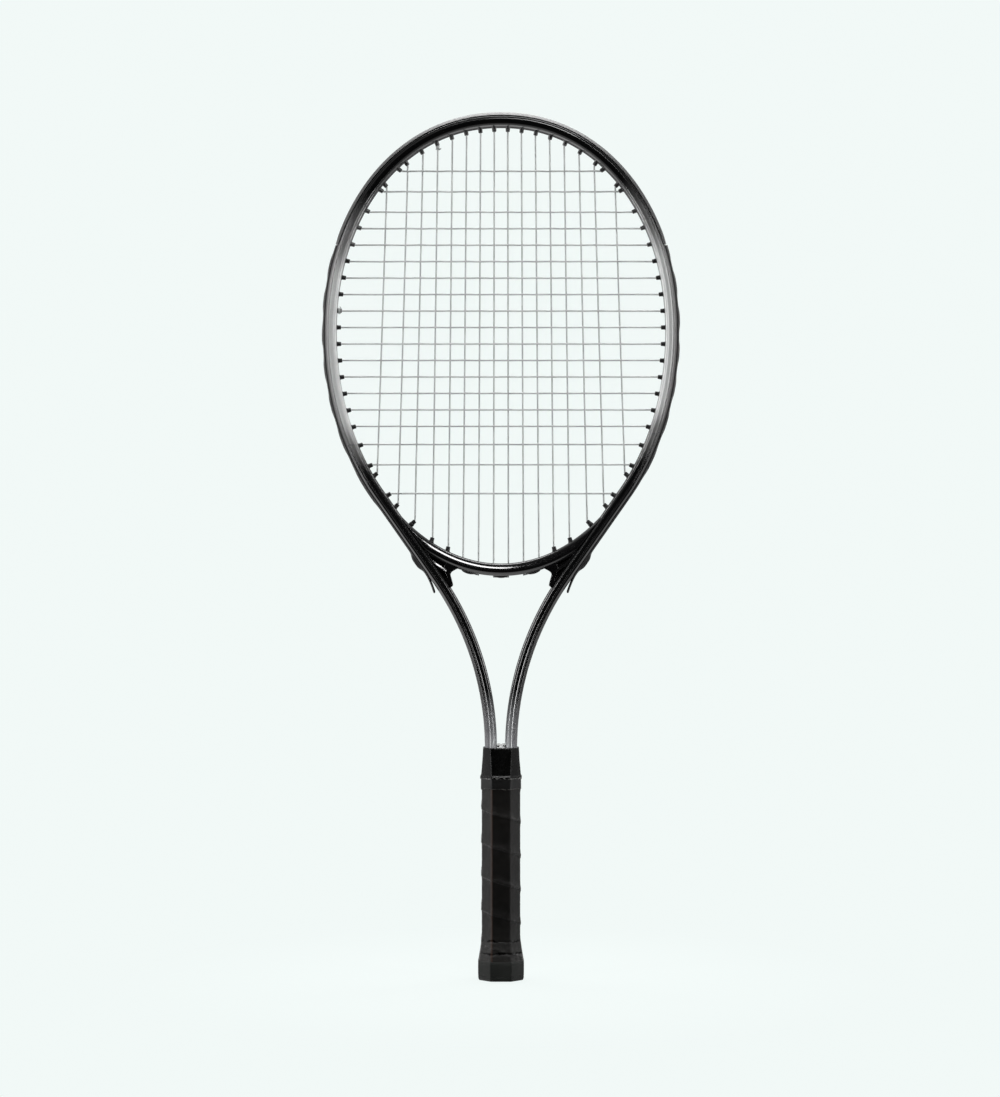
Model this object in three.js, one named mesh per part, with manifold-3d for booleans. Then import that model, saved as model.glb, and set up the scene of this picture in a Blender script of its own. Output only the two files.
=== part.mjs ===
// A full-size adult tennis racket: an aluminium tube bent into a head and two shafts, a moulded throat
// bridge, grommet strips, two strings, and a taped handle with a butt cap.
// Millimetres, +Z up along the racket, origin at the middle of the butt's flat end, hitting face towards -Y.
import * as THREE from 'three';
import Module from 'manifold-3d';
import { mergeVertices } from 'three/addons/utils/BufferGeometryUtils.js';

const wasm = await Module();
wasm.setup();

// ---- driving dimensions ----
const LENGTH = 685.8; // overall, 27 inches
const GAP = 0.3; // clearance between pieces that touch
const OVERSHOOT = 1; // how far a cutting shape runs past what it cuts
const BEYOND = 200; // outside every piece of the handle, for cutting blocks
const RAD = Math.PI / 180;

// frame tube, seen from the front: head oval, straight run, shaft bend, leg inside the handle
const TUBE_WIDTH = 9.6; // across the tube in the plane of the head
const TUBE_DEPTH = 18; // front to back
const TUBE_WALL = 1;
const OUTSIDE = TUBE_WIDTH / 2;
const HALF_DEPTH = TUBE_DEPTH / 2;
// corners of the tube's section: front to back, and from the centreline towards the inside of the head
const SHELF_DEPTH = 5.4;
const SHOULDER_DEPTH = 7.6;
const SHOULDER = -3.2;
const RIDGE = -0.5;
const INNER_CORNER = [7.6, 3.1];
const INNER_FACE_HALF = 4.4;
const HEAD_CENTRE_Z = 512; // height of the widest place
const HEAD_HALF_WIDTH = 135.1; // to the tube's centreline
const HEAD_DROP = 184; // centreline ellipse below the widest place
const HEAD_POWER = 2.1; // a little squarer than an ellipse above the widest place
const LEAN = 35 * RAD; // straight run from the vertical
const SHAFT_BEND = 235; // bend radius of each shaft
const SHAFT_X = 8; // each shaft's centreline in the handle
const LEG_END_Z = 16; // lower ends of the tube, inside the handle

// strips of grommets that lie in the tube's outer groove
const GROOVE_HALF = 4.2;
const GROOVE_DEPTH = 1.6;
const GROOVE_LIP = 0.3; // each side of the groove leans out by this much
const STRIP_FLOOR = 0.6;
const GUARD_PROUD = 1.6; // head guard above the tube's outer face
const STRIP_PROUD = 1.4;
const CHANNEL_HALF = 2.6; // channel that the outside loops of string lie in
const CHANNEL_LIP = 0.6;
const GUARD_RIM = [[5.5, -5.1], [7, -4.3], [7.3, -4.9], [5.8, -6.1]]; // overhang beside the groove
const GUARD_END_Z = 580; // where the head guard stops and the side strips start
const TAIL_Z = 321; // where each side strip's free end leaves the tube
const TAIL_LENGTH = 16.2;
const TAIL_LIFT = 2.7; // how far that end stands off the tube
const BARREL_RADIUS = 1.6;
const BORE_RADIUS = 1.1;
const STUB = 3.5; // barrel standing inside the head
const HOLE_RADIUS = BARREL_RADIUS + GAP / Math.cos(30 * RAD);

// strings, 16 mains and 19 crosses
const STRING_RADIUS = 0.65;
const WEAVE = STRING_RADIUS + GAP / 2; // how far a string steps to each side of the string plane
const MAINS_A_SIDE = 8;
const MAIN_PITCH_TOP = 10.6;
const MAIN_PITCH_BOTTOM = 11.69;
const MAIN_GROWTH = 0.011; // each gap is a little wider than the one before it
const OUTER_MAIN_GAP = 16.6;
const CROSS_TOP_Z = 639.8;
const CROSS_GAPS = [16.2, 16.2, ...Array(13).fill(13.05), 14.4, 16, 22.9];
const LOOP_SIDESTEP = 2 * STRING_RADIUS + GAP; // where two loops share the channel
const CLEAR_OF_TIP = 2; // strings this close to a grommet's tip no longer weave

// throat bridge
const BRIDGE_HALF_WIDTH = 130.2; // its upper edge carries on the head's inner oval
const BRIDGE_DROP = 182.1;
const BRIDGE_BAND = 9.9; // band thickness at the middle
const BRIDGE_DEPTH = 15;
const WING_TOP_Z = 365.7;
const WING_THICK = 3.2; // over the tube, at the last main that passes through both
const HOOK_TIP_Z = 310;
const HOOK_HALF_X = 38;
const HOOK_TOP_Z = 323.6; // where the band's lower edge turns down into the hook
const HOOK_TURN_X = 33; // where it starts to turn
const HOOK_BULGE = 2; // how far its inner edge curves back between its tip and its top
const WEB_SLOT_DEPTH = 5; // roof of the slot that hides the outer string loops
const WEB_SLOT = [[60, 332], [50, 300], [36, 300]]; // its lower corners
const SLOT_HALF = 1.7;
const POCKET = [[57, 338.2], [50, 334.4], [44.5, 330.6], [42.2, 326.4], [42.4, 317.5]]; // recess in each web
const POCKET_DEPTH = 2.2;
const SLEEVE_DEPTH = 6.2; // from the band's upper edge to the loop below a bridge grommet
const SCREW_Z = 333.5;
const SCREW_RADIUS = 1.3;
const SCREW_TIP = 7; // inward from the tube's centreline
const SCREW_HEAD = -4.9; // top of its head, under a hump in the side strip
const HEAD_RADIUS = 2.2;
const HUMP_RADIUS = 3.7;
const HUMP_PROUD = 2.4;
const HEAD_OVERLAP = 0.4; // of the shank inside the head

// handle
const COLLAR_TOP_Z = 183.6;
const COLLAR_LIP_Z = 158.7;
const LIP_HEIGHT = 2.6;
const GRIP_TOP_Z = 166;
const BAND_LOW_Z = 151;
const EASE_TOP_Z = 33; // the grip starts to widen towards the butt
const FLARE_TOP_Z = 24; // where tape and butt cap meet
const BUTT_WIDE_Z = 12.2;
const CHAMFER_Z = 2;
const PALLET_TOP_Z = 172;
const PALLET_FOOT_Z = 4;
const GRIP_WIDTH = 30.6;
const GRIP_DEPTH = 28;
const GRIP_FLAT = 14.6; // width of the front and back flats
const TAPE_THICK = 1.4;
// growth beyond the grip, all round
const LIP_GROWTH = 1;
const COLLAR_GROWTH = 0.5;
const COLLAR_TOP_GROWTH = -1;
const COLLAR_TOP_BEVEL = 0.8; // share of the grip's bevel left at the collar's top
const COLLAR_ROUND = 1.2; // height of its upper chamfer
const BAND_GROWTH = 0.75;
const FLARE_TOP_GROWTH = 0.5;
const BUTT_GROWTH = 2.85;
const CHAMFER_GROWTH = 2.15;
const BADGE_RADIUS = 9;
const PIN_RADIUS = 1.5;
const PIN_HEIGHTS = { upper: 140, lower: 60 };
const PIN_INSET = 0.4; // below the pallet's faces
const TACK_Z = 10;
const TACK_RADIUS = 0.8;
const TACK_HEAD_RADIUS = 1.9;
const TACK_HEAD_THICK = 0.8;
const TACK_TIP = 10.6; // from the middle plane
const SPACER_HALF_DEPTH = 7;
const SPACER_ABOVE = 3.4; // above the start of the shafts' bend

// ---- solids ----
const toSolid = (geometry) => {
  const bare = geometry.clone();
  bare.deleteAttribute('normal');
  bare.deleteAttribute('uv');
  const merged = mergeVertices(bare, 1e-4);
  return new wasm.Manifold(new wasm.Mesh({
    numProp: 3,
    vertProperties: new Float32Array(merged.attributes.position.array),
    triVerts: new Uint32Array(merged.index.array),
  }));
};

const toGeometry = (solid) => {
  const mesh = solid.getMesh();
  const geometry = new THREE.BufferGeometry();
  geometry.setAttribute('position', new THREE.BufferAttribute(mesh.vertProperties, 3));
  geometry.setIndex(new THREE.BufferAttribute(mesh.triVerts, 1));
  return geometry;
};

const shapeOf = (points) => new THREE.Shape(points.map(([x, y]) => new THREE.Vector2(x, y)));

// a route through given points, each point a step of the sweep
class Route extends THREE.Curve {
  constructor(points) {
    super();
    this.points = points;
  }

  getPoint(t, target = new THREE.Vector3()) {
    const place = Math.min(Math.max(t, 0), 1) * (this.points.length - 1);
    const low = Math.min(Math.floor(place), this.points.length - 2);
    return target.lerpVectors(this.points[low], this.points[low + 1], place - low);
  }

  getUtoTmapping(u) {
    return u;
  }
}

const sweep = (shape, points) => new THREE.ExtrudeGeometry(shape, {
  extrudePath: new Route(points),
  steps: points.length - 1,
});

// an outline in x and z, extruded front to back between two values of y
const plate = (points, front, back) => {
  const geometry = new THREE.ExtrudeGeometry(shapeOf(points), { depth: back - front, bevelEnabled: false });
  geometry.rotateX(Math.PI / 2);
  geometry.translate(0, back, 0);
  return geometry;
};

const ring = (radius, sides) => Array.from({ length: sides }, (_, i) => {
  const angle = (i / sides) * 2 * Math.PI;
  return [radius * Math.cos(angle), radius * Math.sin(angle)];
});

// a rod between two points
const rod = (radius, sides, from, to) => sweep(shapeOf(ring(radius, sides)), [from, to]);

const flat = (x, z, y = 0) => new THREE.Vector3(x, y, z);

// ---- the frame's centreline, right half, from the top of the head to the foot of the leg ----
const HEAD_RISE = LENGTH - GUARD_PROUD - OUTSIDE - HEAD_CENTRE_Z;
const LAST_ANGLE = Math.atan((Math.tan(LEAN) * HEAD_DROP) / HEAD_HALF_WIDTH);
const RUN_TOP = {
  x: HEAD_HALF_WIDTH * Math.cos(LAST_ANGLE),
  z: HEAD_CENTRE_Z - HEAD_DROP * Math.sin(LAST_ANGLE),
};
const RUN_FOOT_X = SHAFT_X + SHAFT_BEND * (1 - Math.cos(LEAN));
const RUN_FOOT = { x: RUN_FOOT_X, z: RUN_TOP.z - (RUN_TOP.x - RUN_FOOT_X) / Math.tan(LEAN) };
const SHAFT_BEND_Z = RUN_FOOT.z - SHAFT_BEND * Math.sin(LEAN);

// u counts the stretches: 0 top, 1 widest, 2 start of the straight run, 3 its foot, 4 end of bend, 5 foot
const centreline = (u) => {
  if (u <= 1) {
    const angle = (Math.max(u, 0) * Math.PI) / 2;
    return flat(
      HEAD_HALF_WIDTH * Math.sin(angle) ** (2 / HEAD_POWER),
      HEAD_CENTRE_Z + HEAD_RISE * Math.abs(Math.cos(angle)) ** (2 / HEAD_POWER),
    );
  }
  if (u <= 2) {
    const angle = (u - 1) * LAST_ANGLE;
    return flat(HEAD_HALF_WIDTH * Math.cos(angle), HEAD_CENTRE_Z - HEAD_DROP * Math.sin(angle));
  }
  if (u <= 3) {
    return flat(
      THREE.MathUtils.lerp(RUN_TOP.x, RUN_FOOT.x, u - 2),
      THREE.MathUtils.lerp(RUN_TOP.z, RUN_FOOT.z, u - 2),
    );
  }
  if (u <= 4) {
    const angle = (4 - u) * LEAN;
    return flat(SHAFT_X + SHAFT_BEND * (1 - Math.cos(angle)), SHAFT_BEND_Z + SHAFT_BEND * Math.sin(angle));
  }
  return flat(SHAFT_X, THREE.MathUtils.lerp(SHAFT_BEND_Z, LEG_END_Z, u - 4));
};

// unit normal towards the inside of the head
const inward = (u) => {
  const step = 1e-4;
  if (u < step) return flat(0, -1);
  const along = centreline(u + step).sub(centreline(u - step)).normalize();
  return flat(along.z, -along.x);
};

const beside = (u, offset) => centreline(u).addScaledVector(inward(u), offset);

const mirrored = (point, side) => flat(point.x * side, point.z, point.y);

// where along the centreline a test that grows from negative to positive crosses nought
const solve = (test, low, high) => {
  let [a, b] = [low, high];
  for (let i = 0; i < 50; i += 1) {
    const middle = (a + b) / 2;
    if (test(middle) < 0) a = middle;
    else b = middle;
  }
  return (a + b) / 2;
};

const STEPS = [16, 8, 2, 7, 1]; // sweep steps in each stretch of the centreline
const STATION_GAP = 0.015; // the least step along the centreline
const stations = STEPS.flatMap((count, stretch) => (
  Array.from({ length: count }, (_, i) => stretch + i / count)
)).concat(5);

// sweep stations between two places, from low u to high u
const stationsBetween = (low, high) => (
  [low, ...stations.filter((u) => u > low + STATION_GAP && u < high - STATION_GAP), high]
);

// ---- strings: where each one ends ----
const mainX = (k, pitch) => {
  const place = Math.min(k, MAINS_A_SIDE - 1) - 0.5;
  const x = pitch * (place + MAIN_GROWTH * place * place);
  return k < MAINS_A_SIDE ? x : x + OUTER_MAIN_GAP;
};

const bridgeTopZ = (x) => HEAD_CENTRE_Z - BRIDGE_DROP * Math.sqrt(1 - (x / BRIDGE_HALF_WIDTH) ** 2);
const TIP = OUTSIDE + STUB;
const LOOP_OFFSET = -OUTSIDE + GROOVE_DEPTH - 2 * GAP - STRIP_FLOOR - STRING_RADIUS;

// a barrel through the tube: the string bends at tip, ends at within if it stops there, and turns into
// its loop at outer
const tubeGrommet = (u, side, tipOffset = TIP) => ({
  u,
  side,
  tip: mirrored(beside(u, tipOffset), side),
  tipOffset,
  outer: mirrored(beside(u, LOOP_OFFSET), side),
  within: mirrored(beside(u, 0), side),
  through: 'tube',
});

const mainTop = (k, side) => (
  tubeGrommet(solve((u) => beside(u, TIP).x - mainX(k, MAIN_PITCH_TOP), 0.001, 1), side)
);

const WING_MAIN = 6; // the main on each side that passes through the bridge's wing and the tube
const LAST_BRIDGE_STUB = 4;
const bridgeNormal = (x) => {
  const step = 0.01;
  return flat(-(bridgeTopZ(x + step) - bridgeTopZ(x - step)) / (2 * step), 1).normalize();
};

const mainBottom = (k, side) => {
  const x = mainX(k, MAIN_PITCH_BOTTOM);
  if (k >= WING_MAIN) {
    const tipOffset = k === WING_MAIN ? TIP + WING_THICK : TIP;
    return tubeGrommet(solve((u) => x - beside(u, tipOffset).x, 1, 3), side, tipOffset);
  }
  const stub = k >= LAST_BRIDGE_STUB;
  const axis = stub ? bridgeNormal(x).add(flat(0, 1)).normalize() : flat(0, 1);
  const surface = flat(x, bridgeTopZ(x));
  const depth = stub ? SLEEVE_DEPTH : BRIDGE_BAND + GAP + STRING_RADIUS;
  return {
    side,
    tip: mirrored(surface.clone().addScaledVector(axis, stub ? STUB : 0), side),
    outer: mirrored(surface.clone().addScaledVector(axis, -depth), side),
    through: stub ? 'stub' : 'band',
  };
};

const sides = [-1, 1];
const mains = sides.flatMap((side) => {
  const half = Array.from({ length: MAINS_A_SIDE }, (_, i) => ({
    top: mainTop(i + 1, side),
    bottom: mainBottom(i + 1, side),
  }));
  return side < 0 ? half.reverse() : half;
});

const crossHeights = CROSS_GAPS.reduce((heights, gap) => [...heights, heights.at(-1) - gap], [CROSS_TOP_Z]);
const crossEnd = (z, side) => tubeGrommet(solve((u) => z - beside(u, TIP).z, 0.001, 3), side);
const crosses = crossHeights.map((z) => ({ z, left: crossEnd(z, -1), right: crossEnd(z, 1) }));

const tubeGrommets = [
  ...mains.flatMap((main) => [main.top, main.bottom]),
  ...crosses.flatMap((cross) => [cross.left, cross.right]),
].filter((end) => end.through === 'tube');

// ---- frame tube ----
const GROOVE_FLOOR = -OUTSIDE + GROOVE_DEPTH;
const SCREW_U = solve((u) => SCREW_Z - centreline(u).z, 2, 3);

// sections are drawn with x front to back and y towards the inside of the head
const bothSides = (half) => [...half, ...half.map(([x, y]) => [-x, y]).reverse()];

const frameTube = () => {
  const outer = bothSides([
    [GROOVE_HALF, GROOVE_FLOOR],
    [GROOVE_HALF + GROOVE_LIP, -OUTSIDE],
    [SHELF_DEPTH, -OUTSIDE],
    [SHOULDER_DEPTH, SHOULDER],
    [HALF_DEPTH, RIDGE],
    INNER_CORNER,
    [INNER_FACE_HALF, OUTSIDE],
  ]);
  const inner = bothSides([
    [GROOVE_HALF + TUBE_WALL, GROOVE_FLOOR + TUBE_WALL],
    [HALF_DEPTH - TUBE_WALL, RIDGE],
    [INNER_FACE_HALF - TUBE_WALL / 2, OUTSIDE - TUBE_WALL],
  ]);
  const shape = shapeOf(outer);
  shape.holes.push(shapeOf(inner));
  const right = stations.map(centreline);
  const left = right.slice(1).reverse().map((point) => mirrored(point, -1));
  const tube = toSolid(sweep(shape, [...left, ...right]));
  const drill = (u, side, radius) => toSolid(rod(
    radius,
    6,
    mirrored(beside(u, -OUTSIDE - OVERSHOOT), side),
    mirrored(beside(u, OUTSIDE + OVERSHOOT), side),
  ));
  const holes = tubeGrommets.map(({ u, side }) => drill(u, side, HOLE_RADIUS));
  const screwHoles = sides.map((side) => drill(SCREW_U, side, SCREW_RADIUS + GAP));
  return toGeometry(tube.subtract(wasm.Manifold.union([...holes, ...screwHoles])));
};

// ---- grommet strips ----
const STRIP_BACK = GROOVE_FLOOR - GAP;
const STRIP_CHANNEL = STRIP_BACK - STRIP_FLOOR;
const STRIP_HALF = GROOVE_HALF - GAP;

const stripSection = (proud, flange) => shapeOf(bothSides([
  [STRIP_HALF, STRIP_BACK],
  ...flange,
  [CHANNEL_HALF + CHANNEL_LIP, -OUTSIDE - proud],
  [CHANNEL_HALF, STRIP_CHANNEL],
]));

const withBarrels = (solid, grommets) => {
  const axis = (end, from, to) => [
    mirrored(beside(end.u, from), end.side),
    mirrored(beside(end.u, to), end.side),
  ];
  const barrels = grommets.map((end) => (
    toSolid(rod(BARREL_RADIUS, 6, ...axis(end, STRIP_BACK - STRIP_FLOOR / 2, end.tipOffset)))
  ));
  const bores = grommets.map((end) => (
    toSolid(rod(BORE_RADIUS, 6, ...axis(end, STRIP_CHANNEL - OVERSHOOT, end.tipOffset + OVERSHOOT)))
  ));
  return toGeometry(solid.add(wasm.Manifold.union(barrels)).subtract(wasm.Manifold.union(bores)));
};

const GUARD_END_U = solve((u) => GUARD_END_Z - centreline(u).z, 0, 1);
const isUnderGuard = (end) => end.u < GUARD_END_U;

const headGuard = () => {
  const right = stationsBetween(0, GUARD_END_U).map(centreline);
  const left = right.slice(1).reverse().map((point) => mirrored(point, -1));
  const section = stripSection(GUARD_PROUD, [[STRIP_HALF, -OUTSIDE - GAP], ...GUARD_RIM]);
  return withBarrels(toSolid(sweep(section, [...left, ...right])), tubeGrommets.filter(isUnderGuard));
};

const STRIP_START_U = solve((u) => GUARD_END_Z - GAP - centreline(u).z, 0, 1);
const TAIL_U = solve((u) => TAIL_Z - beside(u, -OUTSIDE).z, 2, 3);

const sideStrip = (side) => {
  const onTube = stationsBetween(STRIP_START_U, TAIL_U).map(centreline);
  const foot = onTube.at(-1);
  const down = flat(-Math.sin(LEAN), -Math.cos(LEAN));
  const tail = [0.5, 1].map((part) => foot.clone()
    .addScaledVector(down, TAIL_LENGTH * part)
    .addScaledVector(inward(2.5), -TAIL_LIFT * part * part));
  const route = [...onTube, ...tail].map((point) => mirrored(point, side));
  if (side < 0) route.reverse();
  const section = stripSection(STRIP_PROUD, [[STRIP_HALF, -OUTSIDE - STRIP_PROUD + GAP]]);
  const mine = tubeGrommets.filter((end) => end.side === side && !isUnderGuard(end));
  const at = (offset) => mirrored(beside(SCREW_U, offset), side);
  const hump = toSolid(rod(HUMP_RADIUS, 10, at(STRIP_BACK), at(-OUTSIDE - HUMP_PROUD)));
  const recess = toSolid(rod(HEAD_RADIUS + GAP, 10, at(GROOVE_FLOOR), at(SCREW_HEAD - GAP)));
  const strip = toSolid(sweep(section, route)).add(hump).subtract(recess);
  return withBarrels(strip, mine);
};

// ---- throat bridge ----
const INNER_FACE = OUTSIDE + GAP;
const WING_U = solve((u) => WING_TOP_Z - beside(u, INNER_FACE).z, 1, 3);
const HOOK_U = solve((u) => HOOK_TIP_Z - beside(u, INNER_FACE).z, 2, 4);
const flat2 = (point) => [point.x, point.z];

const bridgeStations = (low, high, count) => (
  Array.from({ length: count + 1 }, (_, i) => THREE.MathUtils.lerp(low, high, i / count))
);

const throatBridge = () => {
  const wing = beside(WING_U, INNER_FACE);
  const wingTopX = BRIDGE_HALF_WIDTH * Math.sqrt(1 - ((HEAD_CENTRE_Z - WING_TOP_Z) / BRIDGE_DROP) ** 2);
  const top = bridgeStations(0, wingTopX, 12).map((x) => [x, bridgeTopZ(x)]);
  const alongTube = bridgeStations(WING_U, HOOK_U, 7).map((u) => flat2(beside(u, INNER_FACE)));
  const hook = [
    [HOOK_HALF_X, HOOK_TIP_Z + HOOK_BULGE],
    [HOOK_HALF_X + HOOK_BULGE, HOOK_TOP_Z - HOOK_BULGE],
    [HOOK_HALF_X, HOOK_TOP_Z],
    [HOOK_HALF_X - HOOK_BULGE, HOOK_TOP_Z + HOOK_BULGE / 2],
  ];
  const under = bridgeStations(HOOK_TURN_X, 0, 5).map((x) => [x, bridgeTopZ(x) - BRIDGE_BAND]);
  const right = [...top, flat2(wing), ...alongTube.slice(1), ...hook, ...under];
  const left = right.slice(1, -1).reverse().map(([x, z]) => [-x, z]);
  const body = toSolid(plate([...right, ...left], -BRIDGE_DEPTH / 2, BRIDGE_DEPTH / 2));

  const cuts = [];
  for (const side of sides) {
    const flip = (points) => points.map(([x, z]) => [x * side, z]);
    const [slotNear, slotFar] = [WEB_SLOT.at(-1)[0], WEB_SLOT[0][0]];
    const slotTop = bridgeStations(slotNear, slotFar, 4).map((x) => [x, bridgeTopZ(x) - WEB_SLOT_DEPTH]);
    cuts.push(plate(flip([...slotTop, ...WEB_SLOT]), -SLOT_HALF, SLOT_HALF));
    cuts.push(plate(flip(POCKET), BRIDGE_DEPTH / 2 - POCKET_DEPTH, BRIDGE_DEPTH));
    cuts.push(plate(flip(POCKET), -BRIDGE_DEPTH, POCKET_DEPTH - BRIDGE_DEPTH / 2));
    cuts.push(rod(
      SCREW_RADIUS + GAP,
      6,
      mirrored(beside(SCREW_U, OUTSIDE - OVERSHOOT), side),
      mirrored(beside(SCREW_U, SCREW_TIP + GAP), side),
    ));
  }
  for (const { bottom } of mains) {
    const reach = bottom.outer.clone().sub(bottom.tip).normalize();
    const radius = bottom.through === 'band' ? BORE_RADIUS : HOLE_RADIUS;
    if (bottom.through !== 'tube') {
      const from = bottom.tip.clone().addScaledVector(reach, -OVERSHOOT);
      cuts.push(rod(radius, 6, from, bottom.outer.clone().addScaledVector(reach, OVERSHOOT)));
    } else if (bottom.tipOffset > TIP) {
      cuts.push(rod(radius, 6, bottom.tip, bottom.within));
    }
  }
  return toGeometry(body.subtract(wasm.Manifold.union(cuts.map(toSolid))));
};

// a flanged sleeve standing in the bridge's band
const bridgeGrommet = ({ tip, outer }) => {
  const axis = outer.clone().sub(tip).normalize();
  const at = (distance) => tip.clone().addScaledVector(axis, distance);
  const foot = STUB + WEB_SLOT_DEPTH - GAP;
  const barrel = toSolid(rod(BARREL_RADIUS, 6, at(0), at(foot)));
  return toGeometry(barrel.subtract(toSolid(rod(BORE_RADIUS, 6, at(-OVERSHOOT), at(foot + OVERSHOOT)))));
};

const bridgeScrew = (side) => {
  const at = (offset) => mirrored(beside(SCREW_U, offset), side);
  const shank = toSolid(rod(SCREW_RADIUS, 6, at(SCREW_HEAD + HEAD_OVERLAP), at(SCREW_TIP)));
  const head = toSolid(rod(HEAD_RADIUS, 8, at(SCREW_HEAD), at(GROOVE_FLOOR - GAP)));
  return toGeometry(shank.add(head));
};

// ---- strings ----
const stringSection = shapeOf(ring(STRING_RADIUS, 4));

const over = (i, j) => ((i + j) % 2 === 0 ? 1 : -1) * WEAVE;

const mainXAt = ({ top, bottom }, z) => (
  THREE.MathUtils.mapLinear(z, bottom.tip.z, top.tip.z, bottom.tip.x, top.tip.x)
);

// the places where a main and a cross pass each other
const meets = (main, cross) => (
  cross.z < main.top.tip.z - CLEAR_OF_TIP
  && cross.z > main.bottom.tip.z + CLEAR_OF_TIP
  && Math.abs(mainXAt(main, cross.z)) < Math.abs(cross.right.tip.x) - CLEAR_OF_TIP
);

const mainRun = (main, i) => crosses.flatMap((cross, j) => (
  meets(main, cross) ? [flat(mainXAt(main, cross.z), cross.z, over(i, j))] : []
));

const crossRun = (cross, j) => mains.flatMap((main, i) => (
  meets(main, cross) ? [flat(mainXAt(main, cross.z), cross.z, -over(i, j))] : []
));

// a loop outside the head, from one grommet to the next
const loop = (from, to, lift = 0, passing = null) => {
  if (from.through !== 'tube') return [from.outer, to.outer];
  const [low, high] = [Math.min(from.u, to.u), Math.max(from.u, to.u)];
  const places = passing === null ? stationsBetween(low, high).slice(1, -1) : [passing];
  if (to.u < from.u) places.reverse();
  const between = places.map((u) => {
    const point = mirrored(beside(u, LOOP_OFFSET), from.side);
    point.y = lift;
    return point;
  });
  return [from.outer, ...between, to.outer];
};

const mainString = () => {
  const route = [];
  mains.forEach((main, i) => {
    const down = i % 2 === 1;
    const run = mainRun(main, i);
    const [first, last] = down ? [main.top, main.bottom] : [main.bottom, main.top];
    if (i === 0) route.push(first.within);
    route.push(first.tip, ...(down ? run : run.reverse()), last.tip);
    const next = mains[i + 1];
    if (!next) route.push(last.within);
    else if (i === mains.length - 2) route.push(...loop(last, next.top, -LOOP_SIDESTEP, crosses[0].right.u));
    else route.push(...loop(last, down ? next.bottom : next.top));
  });
  return sweep(stringSection, route);
};

const crossString = () => {
  const route = [];
  crosses.forEach((cross, j) => {
    const rightward = j % 2 === 0;
    const run = crossRun(cross, j);
    const [first, last] = rightward ? [cross.left, cross.right] : [cross.right, cross.left];
    if (j === 0) route.push(first.within);
    route.push(first.tip, ...(rightward ? run : run.reverse()), last.tip);
    const next = crosses[j + 1];
    if (!next) route.push(last.within);
    else if (j === 0) route.push(...loop(last, next.right, LOOP_SIDESTEP, mains.at(-1).top.u));
    else route.push(...loop(last, rightward ? next.right : next.left));
  });
  return sweep(stringSection, route);
};

// ---- handle ----
// the handle's octagon, grown or shrunk all round
const octagon = (grow, bevelShare = 1) => {
  const halfWidth = GRIP_WIDTH / 2 + grow;
  const halfDepth = GRIP_DEPTH / 2 + grow;
  const bevel = bevelShare * ((GRIP_WIDTH - GRIP_FLAT) / 2 + grow * (2 - Math.SQRT2));
  const quarter = [[halfWidth, halfDepth - bevel], [halfWidth - bevel, halfDepth]];
  const half = [...quarter, ...quarter.map(([x, y]) => [-x, y]).reverse()];
  return [...half, ...half.map(([x, y]) => [-x, -y])];
};

// stacked octagons [height, growth, share of the bevel] joined into one solid, with its ends closed
const octagonStack = (levels) => {
  const sideCount = 8;
  const points = levels.flatMap(([z, grow, bevelShare]) => (
    octagon(grow, bevelShare).flatMap(([x, y]) => [x, y, z])
  ));
  const faces = [];
  for (let level = 0; level < levels.length - 1; level += 1) {
    for (let i = 0; i < sideCount; i += 1) {
      const a = level * sideCount + i;
      const b = level * sideCount + ((i + 1) % sideCount);
      faces.push(a, b, b + sideCount, a, b + sideCount, a + sideCount);
    }
  }
  const lid = (levels.length - 1) * sideCount;
  for (let i = 1; i < sideCount - 1; i += 1) {
    faces.push(0, i + 1, i, lid, lid + i, lid + i + 1);
  }
  const geometry = new THREE.BufferGeometry();
  geometry.setAttribute('position', new THREE.Float32BufferAttribute(points, 3));
  geometry.setIndex(faces);
  return toSolid(geometry);
};

const block = (x0, x1, y0, y1, z0, z1) => toSolid(
  new THREE.BoxGeometry(x1 - x0, y1 - y0, z1 - z0).translate((x0 + x1) / 2, (y0 + y1) / 2, (z0 + z1) / 2),
);

const PALLET_GROW = -TAPE_THICK - GAP;
const CHANNEL_Y = HALF_DEPTH + GAP;

const tack = (side, clearance = 0) => {
  const face = GRIP_DEPTH / 2 + BUTT_GROWTH;
  const at = (y) => flat(0, TACK_Z, y * side);
  const shankTop = at(face - TACK_HEAD_THICK / 2);
  const shank = toSolid(rod(TACK_RADIUS + clearance, 6, shankTop, at(TACK_TIP - clearance)));
  const under = at(face - TACK_HEAD_THICK - clearance);
  return shank.add(toSolid(rod(TACK_HEAD_RADIUS + clearance, 8, at(face + clearance), under)));
};

const handleShell = (side) => {
  const whole = octagonStack([[PALLET_FOOT_Z, PALLET_GROW], [PALLET_TOP_Z, PALLET_GROW]]);
  const [low, high] = side < 0 ? [-GAP / 2, BEYOND] : [-BEYOND, GAP / 2];
  const cuts = [block(-BEYOND, BEYOND, low, high, 0, BEYOND)];
  const near = SHAFT_X - OUTSIDE - GAP;
  const channelFoot = LEG_END_Z - 2 * GAP;
  cuts.push(block(near, BEYOND, -CHANNEL_Y, CHANNEL_Y, channelFoot, BEYOND));
  cuts.push(block(-BEYOND, -near, -CHANNEL_Y, CHANNEL_Y, channelFoot, BEYOND));
  const reach = GRIP_DEPTH / 2;
  for (const z of Object.values(PIN_HEIGHTS)) {
    cuts.push(toSolid(rod(PIN_RADIUS + GAP, 8, flat(0, z, -reach), flat(0, z, reach))));
  }
  cuts.push(tack(side, GAP));
  return toGeometry(whole.subtract(wasm.Manifold.union(cuts)));
};

const handlePin = (z) => {
  const reach = GRIP_DEPTH / 2 + PALLET_GROW - PIN_INSET;
  return rod(PIN_RADIUS, 8, flat(0, z, -reach), flat(0, z, reach));
};

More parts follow.
